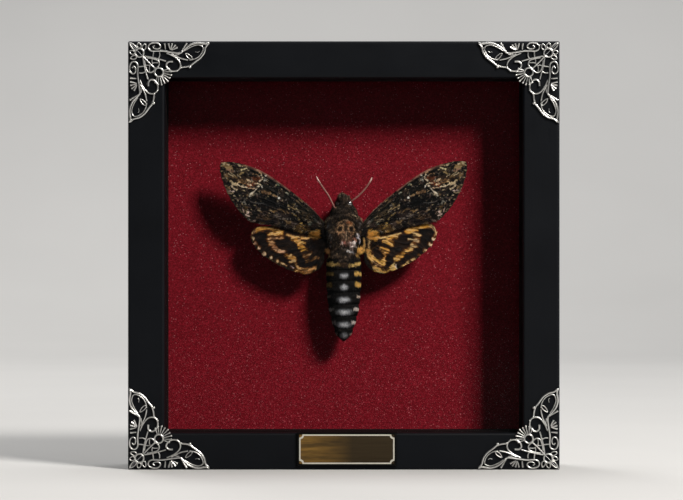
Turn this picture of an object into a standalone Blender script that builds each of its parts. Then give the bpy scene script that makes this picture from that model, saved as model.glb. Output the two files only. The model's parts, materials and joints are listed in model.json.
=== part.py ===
"""A death's head hawkmoth in a black shadow-box frame, as solids in metres.

X runs to the viewer's right, +Z is up, and the glass faces -Y.
The origin is the middle of the frame's footprint, on the surface it stands on.
"""

import math

import bmesh
import bpy
from mathutils import Matrix, Vector

MM = 0.001

# Driving sizes of the frame
FRAME_WIDTH = 200 * MM
FRAME_HEIGHT = 198.5 * MM
FRAME_DEPTH = 35 * MM
BAR_FACE = 17 * MM
BAR_WALL = 10 * MM
LIP_DEPTH = 4 * MM
EDGE_ROUND = 1 * MM
GAP = 0.3 * MM
GLASS_THICK = 2 * MM
BACKING_THICK = 3 * MM
PANEL_THICK = 3 * MM

# Planes of the frame, worked out from the sizes above
CENTRE_Z = FRAME_HEIGHT / 2
FRONT_Y = -FRAME_DEPTH / 2
BACK_Y = FRAME_DEPTH / 2
GLASS_Y = FRONT_Y + LIP_DEPTH + GAP
PANEL_Y = BACK_Y - GAP - PANEL_THICK
BACKING_Y = PANEL_Y - GAP - BACKING_THICK

# Trim on the front: filigree corners and the name plate
CORNER_RIB_HALF = 0.6 * MM
CORNER_RIB_HEIGHT = 0.9 * MM
CORNER_INSET = 0.5 * MM
PLAQUE_SIZE = (46 * MM, 15.6 * MM)
PLAQUE_THICK = 0.9 * MM
PLAQUE_SHIFT = 1.4 * MM
PLAQUE_FOOT = 1.8 * MM
PLAQUE_RIM = 0.8 * MM
PLAQUE_RIM_INSET = 0.7 * MM
PLAQUE_NOTCH = 2.0 * MM

# Fittings on the back
BUTTON_SIZE = (8 * MM, 20 * MM)
FITTING_THICK = 1.0 * MM
BUTTON_ASIDE = 45 * MM
SCREW_RADIUS = 2.0 * MM
NAIL_RADIUS = 1.6 * MM
HANGER_SIZE = (42 * MM, 7 * MM)
HANGER_TEETH = 7
HANGER_TOOTH = 1.6 * MM

# Driving sizes of the moth. Height is measured from the red backing towards the viewer.
THORAX_CENTRE = (0.0, 8.6 * MM, 10.0 * MM)
THORAX_RADII = (9.2 * MM, 15.0 * MM, 7.0 * MM)
NECK_LINE = 21.6 * MM
WAIST_LINE = -0.8 * MM
HEAD_CENTRE = (0.0, 24.6 * MM, 10.6 * MM)
HEAD_RADII = (4.3 * MM, 4.3 * MM, 4.2 * MM)
EYE_CENTRE = (3.05 * MM, 25.2 * MM, 11.2 * MM)
EYE_RADIUS = 1.75 * MM
ABDOMEN_HEIGHT = 10.3 * MM
ABDOMEN_FLATTEN = 0.92
ABDOMEN_STEP = 0.28 * MM
SEGMENT_ENDS = [v * MM for v in (-0.8, -6.2, -11.4, -16.8, -22.4, -28.0, -33.8, -39.9)]
SEGMENT_RADII = [v * MM for v in (7.7, 8.15, 8.05, 7.8, 7.3, 6.3, 4.6, 0.5)]

# Wings: lengths from hinge to tip, with hinge places, sweep angles and heights
MEMBRANE = 0.5 * MM
VEIN_THICK = 1.0 * MM
VEIN_HALF_WIDTH = 0.45 * MM
FORE_LENGTH = 56.5 * MM
FORE_HINGE = (10.1 * MM, 12.8 * MM)
FORE_SWEEP = {1: 33.3, -1: 32.8}
FORE_HEIGHT = (13.4 * MM, 14.4 * MM)
HIND_LENGTH = 34.2 * MM
HIND_HINGE = (9.45 * MM, 7.2 * MM)
HIND_SWEEP = {1: 6.0, -1: 2.8}
HIND_HEIGHT = (11.4 * MM, 11.9 * MM)

# Outlines as shares of each wing's length: along the wing, then towards its hind edge
FORE_LEAD = [(-0.07, -0.02), (0.02, -0.05), (0.15, -0.088), (0.385, -0.117), (0.63, -0.127), (0.785, -0.104),
             (0.93, -0.052), (1.0, 0.0)]
FORE_MARGIN = [(1.0, 0.0), (0.975, 0.05), (0.905, 0.118), (0.80, 0.188), (0.675, 0.245), (0.545, 0.277)]
FORE_HIND = [(-0.07, 0.05), (0.05, 0.088), (0.15, 0.122), (0.315, 0.179), (0.44, 0.232), (0.545, 0.277)]
HIND_LEAD = [(-0.09, -0.05), (0.2, -0.10), (0.45, -0.13), (0.7, -0.148), (0.79, -0.142), (0.9, -0.11),
             (0.973, -0.055), (1.0, 0.0)]
HIND_MARGIN = [(1.0, 0.0), (0.96, 0.10), (0.90, 0.17), (0.815, 0.245), (0.72, 0.305), (0.62, 0.357), (0.475, 0.418),
               (0.36, 0.448), (0.25, 0.458)]
HIND_INNER = [(-0.09, 0.10), (-0.02, 0.18), (-0.02, 0.27), (0.03, 0.37), (0.121, 0.425), (0.25, 0.458)]

# Veins as (place across the wing, share of the way out where the vein starts)
FORE_VEINS = [(0.05, 0.0), (0.13, 0.0), (0.24, 0.42), (0.36, 0.46), (0.48, 0.46), (0.60, 0.46), (0.71, 0.40),
              (0.82, 0.28), (0.93, 0.0)]
FORE_CELL = (0.46, 0.13, 0.71)
HIND_VEINS = [(0.08, 0.0), (0.22, 0.36), (0.36, 0.42), (0.50, 0.42), (0.63, 0.34), (0.76, 0.2), (0.89, 0.0)]
HIND_CELL = (0.42, 0.08, 0.63)
SCALLOP = 0.3 * MM

ANTENNA_RADIUS = 0.52 * MM
ANTENNA_PATHS = {
    1: [(1.8, 24.0, 11.8), (2.85, 24.9, 13.0), (4.6, 26.1, 13.7), (6.6, 27.6, 14.1), (8.6, 29.6, 14.3),
        (10.5, 31.8, 14.4), (11.8, 33.7, 14.4), (12.7, 35.2, 14.3), (13.2, 36.6, 14.0)],
    -1: [(-1.8, 24.0, 11.8), (-3.6, 24.5, 13.0), (-5.4, 25.6, 13.7), (-6.8, 27.6, 14.1), (-8.2, 29.9, 14.3),
         (-9.8, 32.2, 14.4), (-11.2, 34.1, 14.4), (-12.3, 35.5, 14.2), (-13.2, 36.9, 13.8)],
}
LEG_RADIUS = 0.95 * MM
LEG_PATHS = {
    "fore": [(2.4, 15.5, 4.4), (3.2, 16.4, 3.6), (5.2, 18.6, 3.3), (4.6, 20.6, 3.0), (3.6, 23.6, 2.8), (2.9, 26.2, 2.5),
             (2.5, 28.4, 2.3)],
    "mid": [(2.6, 10.4, 4.2), (4.0, 11.2, 3.6), (6.6, 13.2, 3.7), (7.2, 10.8, 3.2), (7.2, 5.6, 2.8), (7.2, 1.0, 2.5),
            (7.2, -3.4, 2.3)],
    "hind": [(2.4, 4.6, 4.2), (3.4, 3.0, 3.4), (5.0, -0.6, 2.4), (5.0, -3.4, 2.0), (4.6, -9.6, 1.7), (4.2, -13.8, 1.5),
             (3.8, -18.0, 1.3)],
}
LEG_TAPER = [1.0, 1.15, 1.1, 0.85, 0.7, 0.5, 0.28]
PIN_RADIUS = 0.5 * MM


def clear_scene():
    """Take out whatever the file holds, so that the model starts empty."""
    for old in list(bpy.data.objects):
        bpy.data.objects.remove(old, do_unlink=True)


def finish_material(name, colour, roughness, metallic=0.0, alpha=1.0):
    """A plain Principled surface."""
    made = bpy.data.materials.get(name)
    if made:
        return made
    made = bpy.data.materials.new(name)
    made.use_nodes = True
    shader = made.node_tree.nodes["Principled BSDF"]
    shader.inputs["Base Color"].default_value = (*colour, 1.0)
    shader.inputs["Roughness"].default_value = roughness
    shader.inputs["Metallic"].default_value = metallic
    shader.inputs["Alpha"].default_value = alpha
    made.diffuse_color = (*colour, alpha)
    return made


def black_wood():
    return finish_material("black_wood", (0.012, 0.014, 0.016), 0.5)


def black_board():
    return finish_material("black_board", (0.008, 0.008, 0.009), 0.7)


def clear_glass():
    return finish_material("clear_glass", (0.9, 0.93, 0.93), 0.05, alpha=0.08)


def red_card():
    return finish_material("red_card", (0.19, 0.008, 0.018), 0.6)


def brown_board():
    return finish_material("brown_board", (0.16, 0.09, 0.05), 0.8)


def old_silver():
    return finish_material("old_silver", (0.42, 0.41, 0.39), 0.35, 1.0)


def old_bronze():
    return finish_material("old_bronze", (0.22, 0.15, 0.07), 0.4, 1.0)


def plain_steel():
    return finish_material("plain_steel", (0.55, 0.55, 0.56), 0.35, 1.0)


def dark_down():
    return finish_material("dark_down", (0.028, 0.02, 0.015), 0.9)


def banded_down():
    return finish_material("banded_down", (0.05, 0.045, 0.04), 0.85)


def fore_scales():
    return finish_material("fore_scales", (0.045, 0.033, 0.024), 0.85)


def hind_scales():
    return finish_material("hind_scales", (0.42, 0.21, 0.04), 0.85)


def eye_shine():
    return finish_material("eye_shine", (0.02, 0.012, 0.01), 0.15)


def horny_brown():
    return finish_material("horny_brown", (0.06, 0.035, 0.025), 0.6)


def object_from(name, bm, look):
    """An object in the model's collection, from a bmesh whose faces are turned outwards."""
    bmesh.ops.recalc_face_normals(bm, faces=bm.faces)
    if bm.calc_volume(signed=True) < 0:
        bmesh.ops.reverse_faces(bm, faces=bm.faces)
    mesh = bpy.data.meshes.new(name)
    bm.to_mesh(mesh)
    bm.free()
    made = bpy.data.objects.new(name, mesh)
    MODEL.objects.link(made)
    if look:
        mesh.materials.append(look)
    return made


def body_point(x, along, height):
    """A place on the moth: across, up the body from the frame's middle, and out from the backing."""
    return Vector((x, BACKING_Y - height, CENTRE_Z + along))


def ellipsoid(name, centre, radii, segments=20, rings=12, look=None, grow=0.0, turn=0.0):
    """A sphere stretched to three radii (across, along, height) at a place on the moth."""
    bm = bmesh.new()
    bmesh.ops.create_uvsphere(bm, u_segments=segments, v_segments=rings, radius=1.0)
    across, along, height = (r + grow for r in radii)
    matrix = Matrix.Translation(body_point(*centre)) @ Matrix.Rotation(math.radians(turn), 4, "Y")
    bm.transform(matrix @ Matrix.Diagonal((across, height, along, 1.0)))
    return object_from(name, bm, look)


def block(name, low, high, look):
    """A box between two corners."""
    bm = bmesh.new()
    bmesh.ops.create_cube(bm, size=1.0)
    low, high = Vector(low), Vector(high)
    size = high - low
    bm.transform(Matrix.Translation((low + high) / 2) @ Matrix.Diagonal((*size, 1.0)))
    return object_from(name, bm, look)


def plate(name, outline, near_y, far_y, look):
    """A flat outline in the upright plane, as a filled curve with thickness."""
    curve = bpy.data.curves.new(name, "CURVE")
    curve.dimensions = "2D"
    curve.fill_mode = "BOTH"
    curve.extrude = (far_y - near_y) / 2
    spline = curve.splines.new("POLY")
    spline.points.add(len(outline) - 1)
    for index, (x, z) in enumerate(outline):
        spline.points[index].co = (x, z, 0.0, 1.0)
    spline.use_cyclic_u = True
    if look:
        curve.materials.append(look)
    made = bpy.data.objects.new(name, curve)
    MODEL.objects.link(made)
    made.rotation_euler = (math.pi / 2, 0.0, 0.0)
    made.location = (0.0, (near_y + far_y) / 2, 0.0)
    bpy.context.view_layer.update()
    return as_mesh(made)


def rod(name, start, end, radius, look, sides=12, end_radius=None):
    """A round rod or cone between two places."""
    start, end = Vector(start), Vector(end)
    bm = bmesh.new()
    bmesh.ops.create_cone(bm, cap_ends=True, segments=sides, radius1=radius,
                          radius2=radius if end_radius is None else end_radius, depth=(end - start).length)
    turn = (end - start).to_track_quat("Z", "Y").to_matrix().to_4x4()
    bm.transform(Matrix.Translation((start + end) / 2) @ turn)
    return object_from(name, bm, look)


def as_mesh(obj):
    """The object's evaluated shape as a plain mesh object, with loose caps welded."""
    graph = bpy.context.evaluated_depsgraph_get()
    mesh = bpy.data.meshes.new_from_object(obj.evaluated_get(graph))
    bm = bmesh.new()
    bm.from_mesh(mesh)
    bm.transform(obj.matrix_world)
    bmesh.ops.remove_doubles(bm, verts=bm.verts, dist=0.001 * MM)
    name = obj.name
    looks = list(mesh.materials)
    bpy.data.objects.remove(obj)
    bpy.data.meshes.remove(mesh)
    return object_from(name, bm, looks[0] if looks else None)


def tube(name, points, radius, look, taper=None, closed=False, resolution=1):
    """A round rib along a line of points, as a closed mesh."""
    curve = bpy.data.curves.new(name, "CURVE")
    curve.dimensions = "3D"
    curve.bevel_depth = radius
    curve.bevel_resolution = resolution
    curve.use_fill_caps = True
    curve.twist_mode = "MINIMUM"
    spline = curve.splines.new("POLY")
    spline.points.add(len(points) - 1)
    for index, place in enumerate(points):
        spline.points[index].co = (*place, 1.0)
        spline.points[index].radius = taper[index] if taper else 1.0
    spline.use_cyclic_u = closed
    made = bpy.data.objects.new(name, curve)
    MODEL.objects.link(made)
    if look:
        curve.materials.append(look)
    return as_mesh(made)


def largest_shell(obj):
    """Keep only the largest closed surface, so that no scrap or sealed hollow is left."""
    bm = bmesh.new()
    bm.from_mesh(obj.data)
    unseen = set(bm.faces)
    shells = []
    while unseen:
        shell, front = set(), [unseen.pop()]
        while front:
            face = front.pop()
            shell.add(face)
            for edge in face.edges:
                for other in edge.link_faces:
                    if other in unseen:
                        unseen.discard(other)
                        front.append(other)
        shells.append(shell)
    if len(shells) > 1:
        keep = max(shells, key=lambda s: sum(f.calc_area() for f in s))
        spare = [f for s in shells if s is not keep for f in s]
        bmesh.ops.delete(bm, geom=spare, context="FACES")
    bm.to_mesh(obj.data)
    bm.free()


def apply_modifiers(obj):
    """Bake the modifiers into the object's own mesh."""
    graph = bpy.context.evaluated_depsgraph_get()
    mesh = bpy.data.meshes.new_from_object(obj.evaluated_get(graph))
    obj.modifiers.clear()
    obj.data = mesh


def fuse(name, pieces, look, solver="EXACT"):
    """Join closed pieces into one body with a single Boolean union."""
    first, others = pieces[0], pieces[1:]
    group = bpy.data.collections.new(name + "_pieces")
    bpy.context.scene.collection.children.link(group)
    for piece in others:
        MODEL.objects.unlink(piece)
        group.objects.link(piece)
    joined = first.modifiers.new("join", "BOOLEAN")
    joined.operation = "UNION"
    joined.operand_type = "COLLECTION"
    joined.collection = group
    joined.solver = solver
    apply_modifiers(first)
    for piece in others:
        bpy.data.objects.remove(piece)
    bpy.data.collections.remove(group)
    first.name = name
    first.data.materials.clear()
    first.data.materials.append(look)
    largest_shell(first)
    return first


def trim(obj, cutter, operation="DIFFERENCE", solver="EXACT"):
    """Cut one solid with another, and drop the cutter."""
    cut = obj.modifiers.new("trim", "BOOLEAN")
    cut.operation = operation
    cut.object = cutter
    cut.solver = solver
    apply_modifiers(obj)
    bpy.data.objects.remove(cutter)
    largest_shell(obj)
    return obj


def smooth(obj, angle=40):
    """Shade round forms smooth and leave real edges sharp."""
    obj.data.shade_smooth()
    obj.data.set_sharp_from_angle(angle=math.radians(angle))
    return obj


def spline_through(points, count):
    """Points along a smooth curve through the given ones, evenly spread by length."""
    ends = [2 * Vector(points[0]) - Vector(points[1]), 2 * Vector(points[-1]) - Vector(points[-2])]
    knots = [ends[0]] + [Vector(p) for p in points] + [ends[1]]
    fine = []
    for i in range(1, len(knots) - 2):
        for k in range(16):
            t = k / 16
            p0, p1, p2, p3 = knots[i - 1:i + 3]
            fine.append(0.5 * (2 * p1 + (p2 - p0) * t + (2 * p0 - 5 * p1 + 4 * p2 - p3) * t * t
                               + (3 * p1 - p0 - 3 * p2 + p3) * t ** 3))
    fine.append(knots[-2])
    runs = [0.0]
    for before, after in zip(fine, fine[1:]):
        runs.append(runs[-1] + (after - before).length)
    made, at = [], 0
    for k in range(count):
        goal = runs[-1] * k / (count - 1)
        while at < len(runs) - 2 and runs[at + 1] < goal:
            at += 1
        share = (goal - runs[at]) / max(runs[at + 1] - runs[at], 1e-12)
        made.append(fine[at].lerp(fine[at + 1], min(max(share, 0.0), 1.0)))
    return made


def mitred_strip(name, turn, profile, look):
    """One side of the frame: a profile of (distance in from the edge, y), mitred at both ends."""
    level = turn % 2 == 0
    half_length, reach = (FRAME_WIDTH / 2, FRAME_HEIGHT / 2) if level else (FRAME_HEIGHT / 2, FRAME_WIDTH / 2)
    bm = bmesh.new()
    face = bm.faces.new([bm.verts.new((0.0, y, inward)) for inward, y in profile])
    grown = bmesh.ops.extrude_face_region(bm, geom=[face])["geom"]
    far = {part for part in grown if isinstance(part, bmesh.types.BMVert)}
    for vert in bm.verts:
        end = half_length - vert.co.z - GAP / 2
        vert.co.x = end if vert in far else -end
        vert.co.z -= reach
    made = object_from(name, bm, look)
    made.rotation_euler = (0.0, turn * math.pi / 2, 0.0)
    made.location = (0.0, 0.0, CENTRE_Z)
    return made


def frame_sides():
    """Four bars with a lip that covers the glass, and four liner strips behind the glass."""
    cut = EDGE_ROUND * 0.3
    bar = [(0.0, BACK_Y), (0.0, FRONT_Y + EDGE_ROUND), (cut, FRONT_Y + cut), (EDGE_ROUND, FRONT_Y),
           (BAR_FACE - EDGE_ROUND, FRONT_Y), (BAR_FACE - cut, FRONT_Y + cut), (BAR_FACE, FRONT_Y + EDGE_ROUND),
           (BAR_FACE, FRONT_Y + LIP_DEPTH), (BAR_WALL, FRONT_Y + LIP_DEPTH), (BAR_WALL, BACK_Y)]
    near, far = GLASS_Y + GLASS_THICK + GAP, BACKING_Y - GAP
    liner = [(BAR_WALL + GAP, far), (BAR_WALL + GAP, near), (BAR_FACE, near), (BAR_FACE, far)]
    for turn, side in enumerate(("bottom", "left", "top", "right")):
        mitred_strip("frame_" + side, turn, bar, black_wood())
        mitred_strip("liner_" + side, turn, liner, black_board())


def sheet(name, near_y, thick, look):
    """A flat pane or board that fills the rabbet."""
    margin = BAR_WALL + GAP
    half = FRAME_WIDTH / 2 - margin
    return block(name, (-half, near_y, margin), (half, near_y + thick, FRAME_HEIGHT - margin), look)


def frame_sheets():
    sheet("glass", GLASS_Y, GLASS_THICK, clear_glass())
    sheet("backing", BACKING_Y, BACKING_THICK, red_card())
    sheet("back_panel", PANEL_Y, PANEL_THICK, brown_board())


def turn_buttons():
    """Rounded plates that turn over the panel to hold it in, each on its own screw."""
    lower, upper = BACK_Y + GAP, BACK_Y + GAP + FITTING_THICK
    width, length = BUTTON_SIZE
    bottom, middle, top = BAR_WALL / 2, CENTRE_Z, FRAME_HEIGHT - BAR_WALL / 2
    edge = FRAME_WIDTH / 2 - BAR_WALL / 2
    places = {"bottom": (0.0, bottom, 90), "left": (-edge, middle, 0), "top": (BUTTON_ASIDE, top, 270),
              "right": (edge, middle, 180)}
    for side, (x, z, heading) in places.items():
        inward = Vector((math.cos(math.radians(heading)), math.sin(math.radians(heading))))
        outer = Vector((x, z))
        inner = outer + inward * (length - width)
        outline = arc(outer, width / 2, heading + 90, heading + 270, 6)
        outline += arc(inner, width / 2, heading - 90, heading + 90, 6)
        plate("turn_button_" + side, outline, lower, upper, plain_steel())
        rod("turn_screw_" + side, (x, upper + GAP, z), (x, upper + GAP + FITTING_THICK, z), SCREW_RADIUS,
            plain_steel(), sides=12, end_radius=SCREW_RADIUS * 0.6)


def hanger():
    """The toothed strip on the back of the top bar, with a nail at each end."""
    width, height = HANGER_SIZE
    middle = FRAME_HEIGHT - BAR_WALL / 2
    lower, upper = BACK_Y + GAP, BACK_Y + GAP + FITTING_THICK
    toothed = width * 0.6
    step = toothed / HANGER_TEETH
    outline = [(width / 2, height / 2), (-width / 2, height / 2), (-width / 2, -height / 2),
               (-toothed / 2, -height / 2)]
    for tooth in range(HANGER_TEETH):
        start = -toothed / 2 + tooth * step
        outline.append((start + step / 2, -height / 2 + HANGER_TOOTH))
        outline.append((start + step, -height / 2))
    outline.append((width / 2, -height / 2))
    plate("hanger", [(x, middle + z) for x, z in outline], lower, upper, plain_steel())
    for side, sign in (("left", -1), ("right", 1)):
        x = sign * width * 0.42
        rod("hanger_nail_" + side, (x, upper + GAP, middle), (x, upper + GAP + FITTING_THICK, middle),
            NAIL_RADIUS, plain_steel(), sides=12, end_radius=NAIL_RADIUS * 0.6)


def arc(centre, radius, start, end, steps):
    """Points on a round arc, in degrees, with a radius that may change from one end to the other."""
    first, last = radius if isinstance(radius, tuple) else (radius, radius)
    made = []
    for k in range(steps + 1):
        share = k / steps
        angle = math.radians(start + (end - start) * share)
        size = first + (last - first) * share
        made.append((centre[0] + size * math.cos(angle), centre[1] + size * math.sin(angle)))
    return made


def teardrop(centre, half_length, half_width, heading, steps):
    """A loop with a point at its outer end."""
    made = []
    for k in range(steps):
        angle = 2 * math.pi * k / steps
        along = half_length * math.cos(angle)
        across = half_width * math.sin(angle) * (1 - 0.35 * math.cos(angle))
        turn = math.radians(heading)
        made.append((centre[0] + along * math.cos(turn) - across * math.sin(turn),
                     centre[1] + along * math.sin(turn) + across * math.cos(turn)))
    return made


def filigree_ribs():
    """The corner's ribs in millimetres from the frame's outer corner, as (points, closed, width share).

    Ribs off the diagonal are given for one leg and mirrored onto the other.
    """
    leg = [
        (teardrop((31.0, 4.3), 5.3, 3.5, -8, 8), True, 1.25),
        ([(35.6, 3.2), (37.6, 1.2)], False, 1.0),
        (arc((12.4, 3.0), (2.5, 1.0), 90, 440, 8), False, 1.0),
        ([(12.4, 5.4), (19.5, 4.7), (26.0, 5.0)], False, 1.0),
        ([(18.0, 4.8), (16.8, 1.0)], False, 1.0),
        ([(19.0, 4.8), (21.2, 1.1)], False, 1.0),
        ([(26.2, 4.6), (24.4, 1.0)], False, 1.0),
        ([(33.4, 7.4), (29.0, 10.4), (24.0, 11.6)], False, 1.0),
        (arc((21.0, 9.7), 3.0, 170, 455, 7), False, 1.0),
        ([(23.6, 8.6), (20.6, 4.7)], False, 0.9),
        ([(7.0, 6.2), (11.0, 6.0), (18.1, 9.3)], False, 0.9),
        ([(22.4, 12.2), (15.8, 13.2)], False, 0.9),
        ([(3.8, 3.4), (6.4, 0.9)], False, 1.0),
        ([(3.2, 4.4), (0.9, 2.6)], False, 1.0),
    ]
    made = list(leg)
    made += [([(y, x) for x, y in points], closed, share) for points, closed, share in leg]
    made.append((arc((4.9, 4.9), 2.1, 0, 300, 5), True, 1.0))
    made.append(([(3.6, 3.6), (0.9, 0.9)], False, 1.1))
    made.append(([(6.2, 6.2), (12.9, 12.9)], False, 1.0))
    made.append((arc((14.2, 14.2), 2.1, 0, 300, 5), True, 1.0))
    for petal in range(5):
        angle = math.radians(-11 + petal * 28)
        start, end = 1.6, 5.9 if petal in (0, 4) else 6.5
        made.append(([(14.2 + start * math.cos(angle), 14.2 + start * math.sin(angle)),
                      (14.2 + end * math.cos(angle), 14.2 + end * math.sin(angle))], False, 1.05))
    return made


def rib(points, closed, share):
    """One rib of the corners: a roof-shaped strip, flat underneath, along a line in its own plane."""
    half, height = CORNER_RIB_HALF * share, CORNER_RIB_HEIGHT * share
    outline = bpy.data.curves.new("rib_profile", "CURVE")
    roof = outline.splines.new("POLY")
    roof.points.add(2)
    for point, (x, y) in zip(roof.points, ((-half, 0.0), (half, 0.0), (0.0, height))):
        point.co = (x, y, 0.0, 1.0)
    roof.use_cyclic_u = True
    profile = bpy.data.objects.new("rib_profile", outline)
    curve = bpy.data.curves.new("rib", "CURVE")
    curve.dimensions = "2D"
    curve.fill_mode = "NONE"
    curve.bevel_mode = "OBJECT"
    curve.bevel_object = profile
    curve.use_fill_caps = True
    spline = curve.splines.new("POLY")
    spline.points.add(len(points) - 1)
    for index, (across, along) in enumerate(points):
        spline.points[index].co = (across * MM, along * MM, 0.0, 1.0)
    spline.use_cyclic_u = closed
    made = bpy.data.objects.new("rib", curve)
    MODEL.objects.link(made)
    bpy.context.view_layer.update()
    strip = as_mesh(made)
    bpy.data.objects.remove(profile)
    return strip


def filigree_corners():
    """Four openwork corners from one set of fused ribs, turned over for each side and end."""
    pattern = fuse("corner", [rib(*line) for line in filigree_ribs()], old_silver(), "MANIFOLD")
    edge = FRAME_WIDTH / 2 - CORNER_INSET
    for end, up in (("top", 1), ("bottom", -1)):
        for side, across in (("left", -1), ("right", 1)):
            bm = bmesh.new()
            bm.from_mesh(pattern.data)
            place = Matrix.Translation((across * edge, FRONT_Y - GAP, CENTRE_Z + up * (CENTRE_Z - CORNER_INSET)))
            lay = Matrix(((-across, 0, 0, 0), (0, 0, -1, 0), (0, -up, 0, 0), (0, 0, 0, 1)))
            bm.transform(place @ lay)
            smooth(object_from(f"corner_{end}_{side}", bm, old_silver()), 30)
    bpy.data.objects.remove(pattern)


def plaque():
    """A plate on the bottom bar with a raised rim whose corners are notched. It carries no words."""
    width, height = PLAQUE_SIZE
    back = FRONT_Y - GAP
    front = back - PLAQUE_THICK
    low_x = PLAQUE_SHIFT - width / 2
    plate = block("plaque", (low_x, front, PLAQUE_FOOT), (low_x + width, back, PLAQUE_FOOT + height), None)
    corner = (low_x + width - PLAQUE_RIM_INSET, PLAQUE_FOOT + height - PLAQUE_RIM_INSET)
    middle = Vector((PLAQUE_SHIFT, PLAQUE_FOOT + height / 2))
    half = Vector(corner) - middle
    quarter = [(half.x, half.y - PLAQUE_NOTCH), (half.x - PLAQUE_NOTCH * 0.45, half.y - PLAQUE_NOTCH * 0.55),
               (half.x - PLAQUE_NOTCH, half.y)]
    line = list(quarter)
    line += [(-x, z) for x, z in reversed(quarter)]
    line += [(-x, -z) for x, z in quarter]
    line += [(x, -z) for x, z in reversed(quarter)]
    points = [(middle.x + x, front, middle.y + z) for x, z in line]
    rim = tube("rim", points, PLAQUE_RIM / 2, None, closed=True, resolution=0)
    return fuse("plaque", [plate, rim], old_bronze())


def thorax_pieces(grow):
    """The chest, the collar in front of it and the two shoulder flaps that cover the wing roots."""
    pieces = [
        ellipsoid("thorax", THORAX_CENTRE, THORAX_RADII, 18, 12, grow=grow),
        ellipsoid("collar", (0.0, 17.6 * MM, 11.6 * MM), (6.6 * MM, 4.2 * MM, 5.0 * MM), 12, 8, grow=grow),
        ellipsoid("rump", (0.0, 1.6 * MM, 12.4 * MM), (5.6 * MM, 4.6 * MM, 4.4 * MM), 12, 8, grow=grow),
    ]
    for sign in (1, -1):
        pieces.append(ellipsoid("flap", (sign * 6.4 * MM, 11.0 * MM, 13.7 * MM), (2.7 * MM, 7.6 * MM, 2.3 * MM),
                                10, 8, grow=grow, turn=-sign * 9))
    return pieces


def thorax(name="thorax", grow=0.0):
    """The thorax, cut flat at the neck and the waist. A grown copy cuts what is set against it."""
    chest = fuse(name, thorax_pieces(grow), dark_down())
    wide = 30 * MM
    low = body_point(-wide, WAIST_LINE + GAP / 2 - grow, wide)
    high = body_point(wide, NECK_LINE - GAP / 2 + grow, -wide)
    keep = block("keep", low, high, None)
    trim(chest, keep, "INTERSECT")
    return chest


def head(name="head", grow=0.0):
    """A rounded head with a brow tuft and a socket for each eye, cut flat at the neck."""
    pieces = [
        ellipsoid(name, HEAD_CENTRE, HEAD_RADII, 16, 10, grow=grow),
        ellipsoid("brow", (0.0, 26.2 * MM, 12.8 * MM), (2.5 * MM, 2.7 * MM, 2.4 * MM), 10, 6, grow=grow),
        ellipsoid("nape", (0.0, 22.2 * MM, 11.4 * MM), (4.5 * MM, 2.6 * MM, 4.0 * MM), 12, 8, grow=grow),
    ]
    made = fuse(name, pieces, dark_down())
    wide = 20 * MM
    keep = block("keep", body_point(-wide, NECK_LINE + GAP / 2 - grow, 2 * wide), body_point(wide, 2 * wide, -wide),
                 None)
    trim(made, keep, "INTERSECT")
    if not grow:
        for sign in (1, -1):
            across, along, height = EYE_CENTRE
            socket = ellipsoid("socket", (sign * across, along, height), (EYE_RADIUS,) * 3, 12, 8, grow=GAP)
            trim(made, socket)
    return made


def eyes():
    across, along, height = EYE_CENTRE
    for side, sign in (("left", -1), ("right", 1)):
        ball = ellipsoid("eye_" + side, (sign * across, along, height), (EYE_RADIUS,) * 3, 12, 8, eye_shine())
        smooth(ball)


def palps():
    """The two blunt mouth feelers in front of the head."""
    for side, sign in (("left", -1), ("right", 1)):
        palp = ellipsoid("palp_" + side, (sign * 1.4 * MM, 26.9 * MM, 8.0 * MM), (1.15 * MM, 2.3 * MM, 1.7 * MM), 10,
                         6, dark_down(), turn=sign * 8)
        trim(palp, head("head_cutter", GAP))
        smooth(palp)


def tongue():
    """The short thick tongue, coiled under the head."""
    centre = (25.8 * MM, 4.1 * MM)
    turns, steps = 1.45, 17
    points = [body_point(0.0, 24.8 * MM, 7.6 * MM)]
    for k in range(steps + 1):
        share = k / steps
        angle = math.radians(95) + share * turns * 2 * math.pi
        radius = (2.0 - 1.35 * share) * MM
        points.append(body_point(0.0, centre[0] + radius * math.cos(angle), centre[1] + radius * math.sin(angle)))
    tapers = [1.0] + [1.0 - 0.45 * k / steps for k in range(steps + 1)]
    coil = tube("tongue", points, 0.4 * MM, horny_brown(), tapers)
    trim(coil, head("head_cutter", GAP))
    smooth(coil)


def antennae():
    """Stout antennae that thicken along the shaft and end in a fine hook."""
    for side, sign in (("left", -1), ("right", 1)):
        path = [Vector(p) * MM for p in ANTENNA_PATHS[sign]]
        points = [body_point(*p) for p in spline_through(path, 15)]
        count = len(points) - 1
        tapers = [0.72 + 0.4 * math.sin(math.pi * min(1.0, k / count * 0.75)) for k in range(count + 1)]
        tapers[-3:] = [0.8, 0.6, 0.3]
        feeler = tube("antenna_" + side, points, ANTENNA_RADIUS, horny_brown(), tapers)
        trim(feeler, head("head_cutter", GAP))
        smooth(feeler)


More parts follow.
